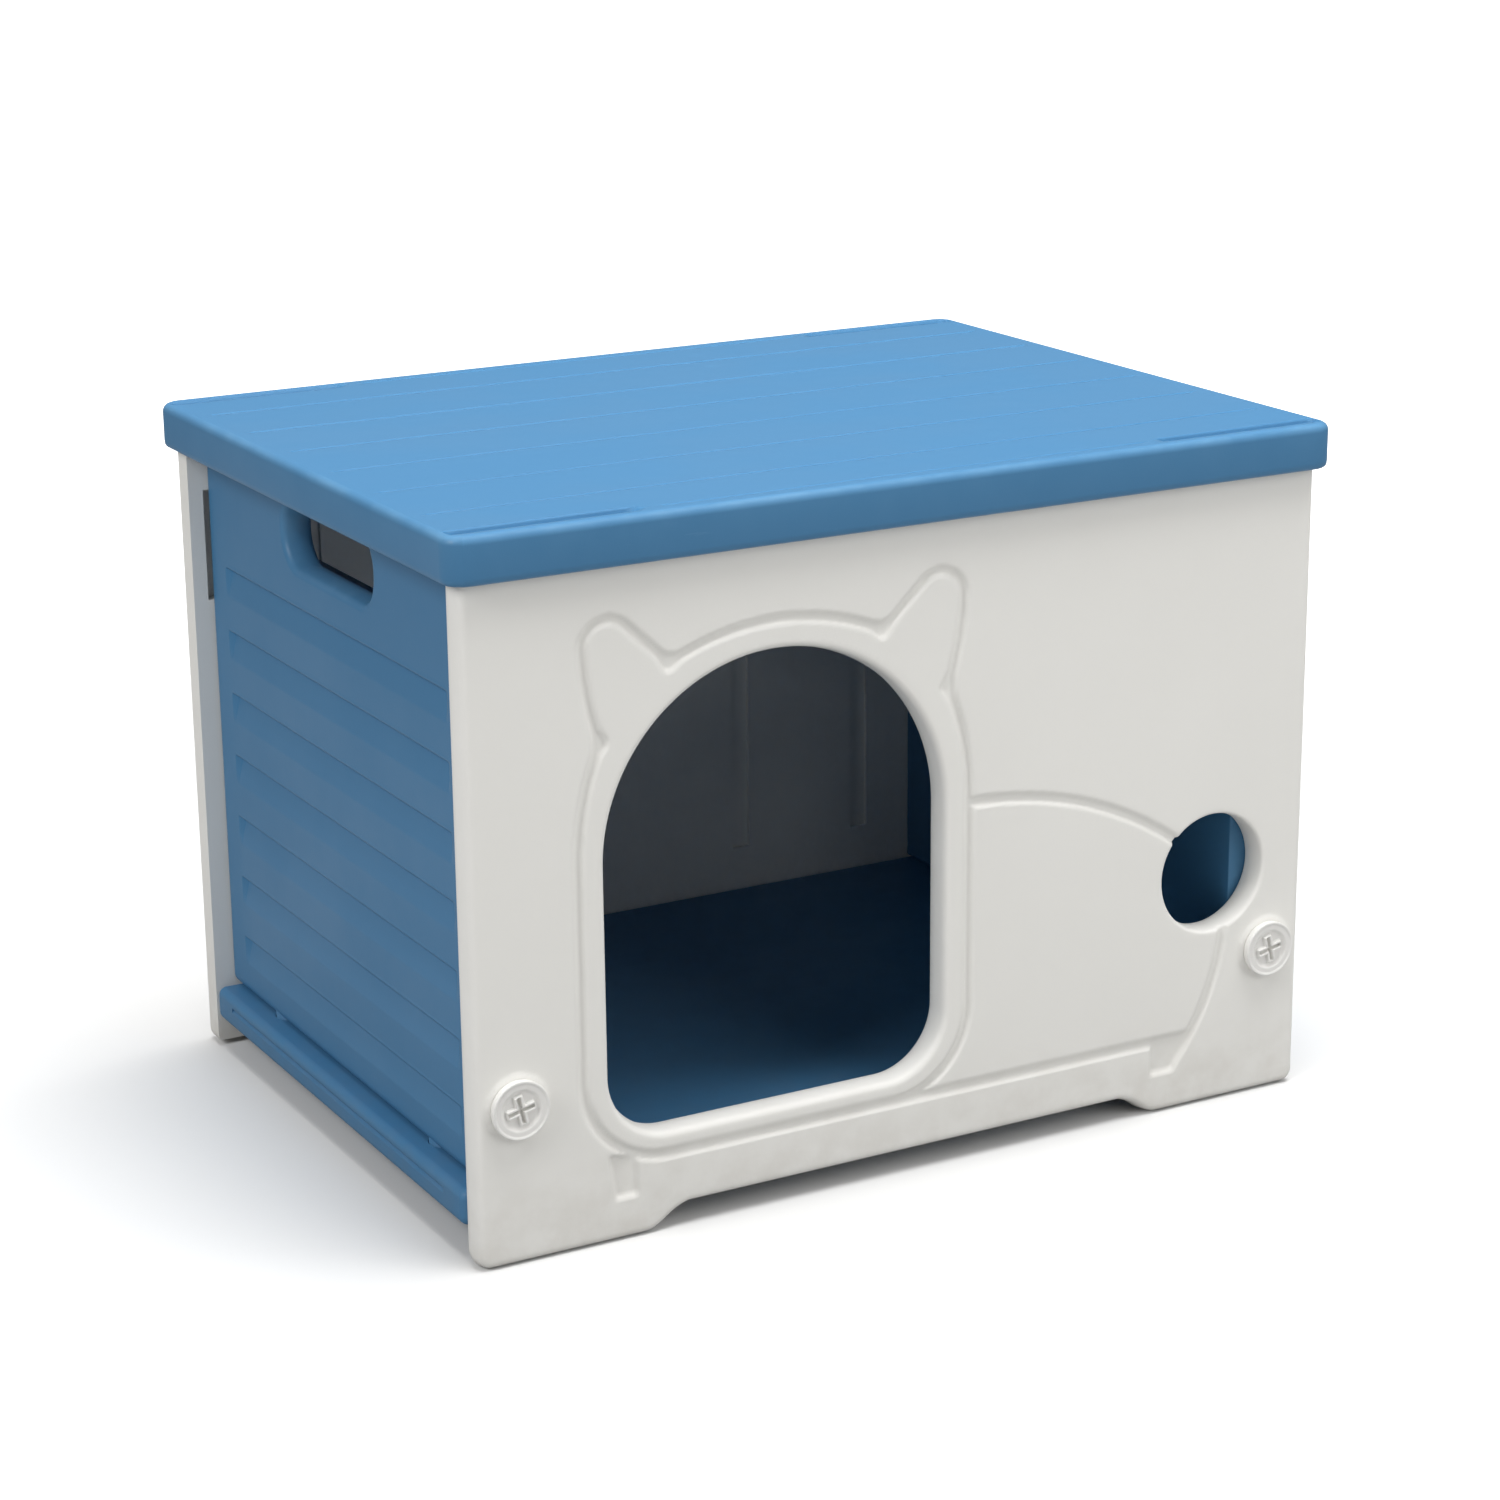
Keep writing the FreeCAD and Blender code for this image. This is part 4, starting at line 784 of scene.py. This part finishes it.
def board_recess(y, z):
    """Under each edge: full depth at once, then out in a straight ramp; soft walls at the ends."""
    below = BOARD_EDGES[:, None] - np.asarray(z).ravel()[None]
    ramp = np.clip(1.0 - below / BOARD_RUN, 0, 1) * smooth(-0.1, 0.9, below)
    deep = BOARD_DEEP * ramp.max(0).reshape(np.shape(z))
    return deep * smooth(175.2, 173.6, np.abs(y))


def board_lip(y, z):
    """A faint roll just above each edge, where hot plastic draws over the tool's corner."""
    above = np.abs(np.asarray(z).ravel()[None] - BOARD_EDGES[:, None] - 0.9)
    roll = np.exp(-(above / 0.9) ** 2).max(0).reshape(np.shape(z))
    return LIP * roll * smooth(176.0, 172.0, np.abs(y))


def foot_roll(z):
    """The foot's outer edge as a quarter circle of 8 mm: 8 - sqrt(64 - t^2)."""
    t = np.clip(SIDE_BOTTOM + FOOT_ROLL - z, 0.0, 7.9)
    return FOOT_ROLL - np.sqrt(FOOT_ROLL ** 2 - t ** 2)


def side_skin(y, z):
    """Depth of the outer face, towards -X."""
    waves = 0.26 + slow_waves(y, z)
    return SIDE_OUT + board_recess(y, z) - board_lip(y, z) + foot_roll(z) + waves


def side_back(y, z):
    """Depth of the inner face: it slopes in 13 mm round the slot, where the wall is pinched thin."""
    return SIDE_IN - PINCH * smooth(13.5, 1.5, hand_slot(y, z))


def peg(along):
    """A round peg 11 mm in radius, from the floor's socket up into the wall."""
    low, high = 34.6, 50.0
    profile = [(0, low), (9.8, low), (10.6, low + 0.3), (PEG, low + 1.0), (PEG, high), (9.8, high),
               (0, high)]
    points, faces = revolved(profile)
    return points + (PEG_X, along, 0), faces, np.zeros(len(points))


def side_panel(name, stands_for, turned):
    """The wall, and round pegs below it that sit in the floor."""
    points, faces, rolled, fill = moulded_wall(
        side_outline, side_rim, side_skin, rolled_rim(side_back, draft=1.2),
        (-SIDE_END, 44.0), (SIDE_END, SIDE_TOP), cell=(2.1, 1.0))
    wall = (points[:, (1, 0, 2)], faces, rolled)
    points, faces, rolled = joined([wall, peg(-PEG_Y), peg(PEG_Y)])
    if turned:
        points = points * HALF_TURN
    piece_from(name, points, faces, rolled, "blue_panel", "house", stands_for, fill=fill)


side_panel("left_side_moulded", "left_side_panel", False)
side_panel("right_side_moulded", "right_side_panel", True)

# %% [markdown]
# ## Lid
# The lid is a thick tray turned over: a flat top with six shallow lines and four slots for stacking
# another house's feet, round corners, a rim that hangs outside the walls and a block that drops
# between them. Its top edge is rolled over 5.6 mm and catches the light. It is a moulded wall lying
# down, with its depth measured along the height.

# %% Lid
LID_LOW, LID_HIGH = mm("lid")
LID_X, LID_Y = LID_HIGH[0], LID_HIGH[1]
LID_TOP, LID_HEM = LID_HIGH[2], LID_LOW[2]
LINES_Y, LINE_END = 67.5 * (np.arange(6) - 2.5), 288.5
LINE_DEEP, SLOT_DEEP, LINK_DEEP, SLOTS_Y = 2.2, 6.5, 1.2, 218.25
CEILING, LID_ROLL, LID_CORNER = LID_TOP - 12.0, 5.6, 14.0
BLOCK_HALF, BLOCK_CORNER = (256.5, 202.5), 6.0


def lid_outline(x, y):
    """A rectangle with 14 mm corners."""
    return box_distance(x, y, (0, 0), (LID_X, LID_Y), LID_CORNER)


def lid_marks(x, y):
    """Depth of lines, slots and the links between slots: flat floors with soft walls."""
    away = np.min([np.abs(np.asarray(y) - line) for line in LINES_Y], axis=0)
    lines = np.hypot(away, np.maximum(np.abs(x) - LINE_END, 0))
    side_y = np.abs(y) - SLOTS_Y
    slots = box_distance(np.abs(x), side_y, (243.0, 0), (61.0, 5.4), 5.3)
    links = np.hypot(side_y, np.maximum(np.abs(x) - 165.5, 0))
    return (LINE_DEEP * (1 - smooth(0.9, 1.8, lines)) + SLOT_DEEP * (1 - smooth(-1.0, 0.2, slots)) +
            LINK_DEEP * (1 - smooth(0.6, 1.6, links)))


def lid_skin(x, y):
    """Height of the top: lines, slots, and slow unevenness."""
    calm = smooth(0.0, 16.0, -lid_outline(x, y))
    return LID_TOP - lid_marks(x, y) - calm * 0.8 * (0.27 - slow_waves(x, y))


def lid_rim(size, low, x, y):
    """Rings from the top: a roll of the rim's size, the skirt, a 4 mm roll under it, the hem's
    underside, the channel's wall up to the ceiling, and a little way in along the ceiling."""
    turns = np.linspace(0, math.pi / 2, 9)[1:]
    roll = [(LID_ROLL * math.sin(turn), LID_TOP - LID_ROLL * (1 - math.cos(turn)))
            for turn in turns]
    hem = [(LID_ROLL - 4 * (1 - math.cos(turn)), LID_HEM + 4 - 4 * math.sin(turn))
           for turn in turns[1::2]]
    inside = [(0.9, LID_HEM), (0.4, LID_HEM + 0.6), (0.4, CEILING - 0.7), (-0.2, CEILING)]
    ways = roll + [(LID_ROLL, LID_HEM + 5.0)] + hem + inside
    out, deep = (np.array(values)[:, None] + 0 * size for values in zip(*ways))
    # Paleness round the lid's rim: wear, and a painted sheen on the top roll where the edge catches
    # light.
    ring_wear_and_sheen = np.interp(np.arange(len(ways)), [0, 3, 8, 10, 13, 15], [0.3, 1.0, 0.1, 0.5, 0.6, 0.0])
    return out, deep, ring_wear_and_sheen


def lid_block():
    """The block that drops between the walls: rounded rectangles at four heights, closed flat."""
    count = 96
    turns = (np.arange(count) + 0.5) * 2 * math.pi / count
    push = np.stack([np.cos(turns), np.sin(turns)], -1)
    rings = []
    for inset, height in ((3.0, CEILING - 12.0), (0.9, CEILING - 11.1), (0.0, CEILING - 9.0),
                          (0.0, CEILING + 2.0)):
        half = np.array(BLOCK_HALF) - inset
        flat = np.sign(push) * (half - BLOCK_CORNER) + push * BLOCK_CORNER
        rings.append(np.column_stack([flat[:, 0], np.full(count, height), flat[:, 1]]))
    quads, here, _ = ring_quads(len(rings), count)
    caps = np.stack([here[::-1], (len(rings) - 1) * count + here])
    return np.concatenate(rings), [quads, caps], np.zeros(len(rings) * count)


points, faces, rolled, fill = moulded_wall(
    lid_outline, lambda x, y: np.full(np.shape(x), LID_ROLL), lid_skin, lid_rim,
    (-LID_X, -LID_Y), (LID_X, LID_Y), cell=(3.7, 0.98))
points, faces, rolled = joined([(points, faces, rolled), lid_block()])
piece_from("lid_moulded", points[:, (0, 2, 1)], faces, rolled, "blue_panel", "lid_body", "lid",
           fill=fill)

# %% [markdown]
# ## Screws
# Each screw is turned by hand or with a coin: a wide dished head with a raised rim, and four ribs
# that stand round a cross-shaped slot. Everything on it is a profile turned about its axis, so the
# whole screw is one surface in radius and angle. The ribs and slot change the head's height with
# the angle, and the thread changes the shank's radius, by how far each point is along the helix.

# %% Screws
HEAD, HEAD_TOP, SLOT_FLOOR = 18.5, 8.0, 4.2
THREAD_CORE, THREAD_TOOTH, THREAD_PITCH = 7.0, 1.45, 5.0
UNDER_HEAD = 3.0
FACE_Y = -FRONT_FACE - UNDER_HEAD + BOSS
COUNT = 160
TURNS = np.arange(COUNT) * 2 * math.pi / COUNT


def head_height(radius):
    """Height of the head's face: ring, dish, ribs and slot, softened over about 0.7 mm."""
    turn = TURNS - math.radians(13.0)
    across, up = np.abs(radius * np.cos(turn)), np.abs(radius * np.sin(turn))

    def cross(long, wide, corner):
        bars = [box_distance(across, up, (0, 0), half, corner)
                for half in ((long, wide), (wide, long))]
        return np.minimum(*bars)

    face = -0.5 - 1.9 * smooth(13.6, 10.4, radius) + 0.5 * smooth(16.2, 17.2, radius)
    ribs = 1 - smooth(-0.35, 0.35, cross(9.3, 2.9, 0.6))
    slot = 1 - smooth(-0.3, 0.3, cross(8.4, 1.1, 0.3))
    return (face * (1 - ribs) - 0.1 * ribs) * (1 - slot) - SLOT_FLOOR * slot


def thread_radius(height):
    """Core plus a trapezoid tooth of pitch 5 mm: the tooth's place moves on with the angle."""
    along = (height / THREAD_PITCH + TURNS / (2 * math.pi)) % 1.0
    tooth = smooth(0.27, 0.10, np.abs(along - 0.5))
    ends = smooth(-19.0, -21.0, height), smooth(-43.0, -41.0, height)
    return THREAD_CORE + THREAD_TOOTH * tooth * ends[0] * ends[1]


def screw(name, across, back):
    """Rings of (radius, height outwards): the head's underside is at 3 mm, on the boss."""
    face = [(radius, HEAD_TOP + head_height(radius)) for radius in np.arange(0.4, 17.3, 0.4)]
    rolls = [(HEAD - 0.7 + 0.7 * math.sin(turn), 7.3 + 0.7 * math.cos(turn))
             for turn in np.linspace(0.1, math.pi / 2, 5)]
    edge = [(HEAD - 0.1, 5.0), (HEAD - 0.3, 3.3), (HEAD - 0.6, 3.05), (9.0, 3.05), (8.5, 2.6)]
    shank = [(8.5, -18.8), (7.1, -19.2)] + [(thread_radius(height), height)
                                            for height in np.arange(-19.6, -42.2, -0.45)]
    tip = [(6.9, -42.3), (5.1, -43.9)]
    profile = [(0, HEAD_TOP - SLOT_FLOOR), *face, *rolls, *edge, *shank, *tip, (0, -44.0)]
    points, faces = revolved(profile, COUNT)
    # The head's outer edge is paled: wear, and a painted sheen where the edge catches light.
    wear_and_sheen = np.interp(np.hypot(points[:, 0], points[:, 1]), [16.5, 17.6, 18.6], [0, 0.8, 0.8])
    wear_and_sheen *= points[:, 2] > UNDER_HEAD
    points = np.column_stack([points[:, 0] + across, -FACE_Y - points[:, 2], points[:, 1] + SCREW_Z])
    if back:
        points = points * HALF_TURN
    piece_from(name + "_moulded", points, faces, wear_and_sheen, "screw_plastic", name + "_body", name)


screw("front_left_screw", -SCREW_X, False)
screw("front_right_screw", SCREW_X, False)
screw("back_left_screw", SCREW_X, True)
screw("back_right_screw", -SCREW_X, True)

# %% [markdown]
# ## Floor and back panel
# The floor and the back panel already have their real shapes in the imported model: a rounded plate
# with its line along each side, and a plain wall with flutes. Only their finish is missing, so
# their own meshes stay and the plastics go into their slots.

# %% Floor and back panel
for name, slot in (("floor_panel", "blue_panel"), ("back_panel", "white_panel")):
    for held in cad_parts[name].material_slots:
        held.material = PLASTICS[slot]
    print(name, "keeps its mesh and wears", slot)

# %% [markdown]
# ## Sizes, and the end
# The imported box and the finished box are printed together, so that any change the looks make
# to the object's size shows.

# %% Sizes and finish
visual_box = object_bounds()
sizes = {name: [[float(value) for value in corner] for corner in box]
         for name, box in (("cad", cad_box), ("visual", visual_box))}
for name, (low, high) in sizes.items():
    print(name, "box, mm:", [round(1000 * (b - a), 1) for a, b in zip(low, high)])
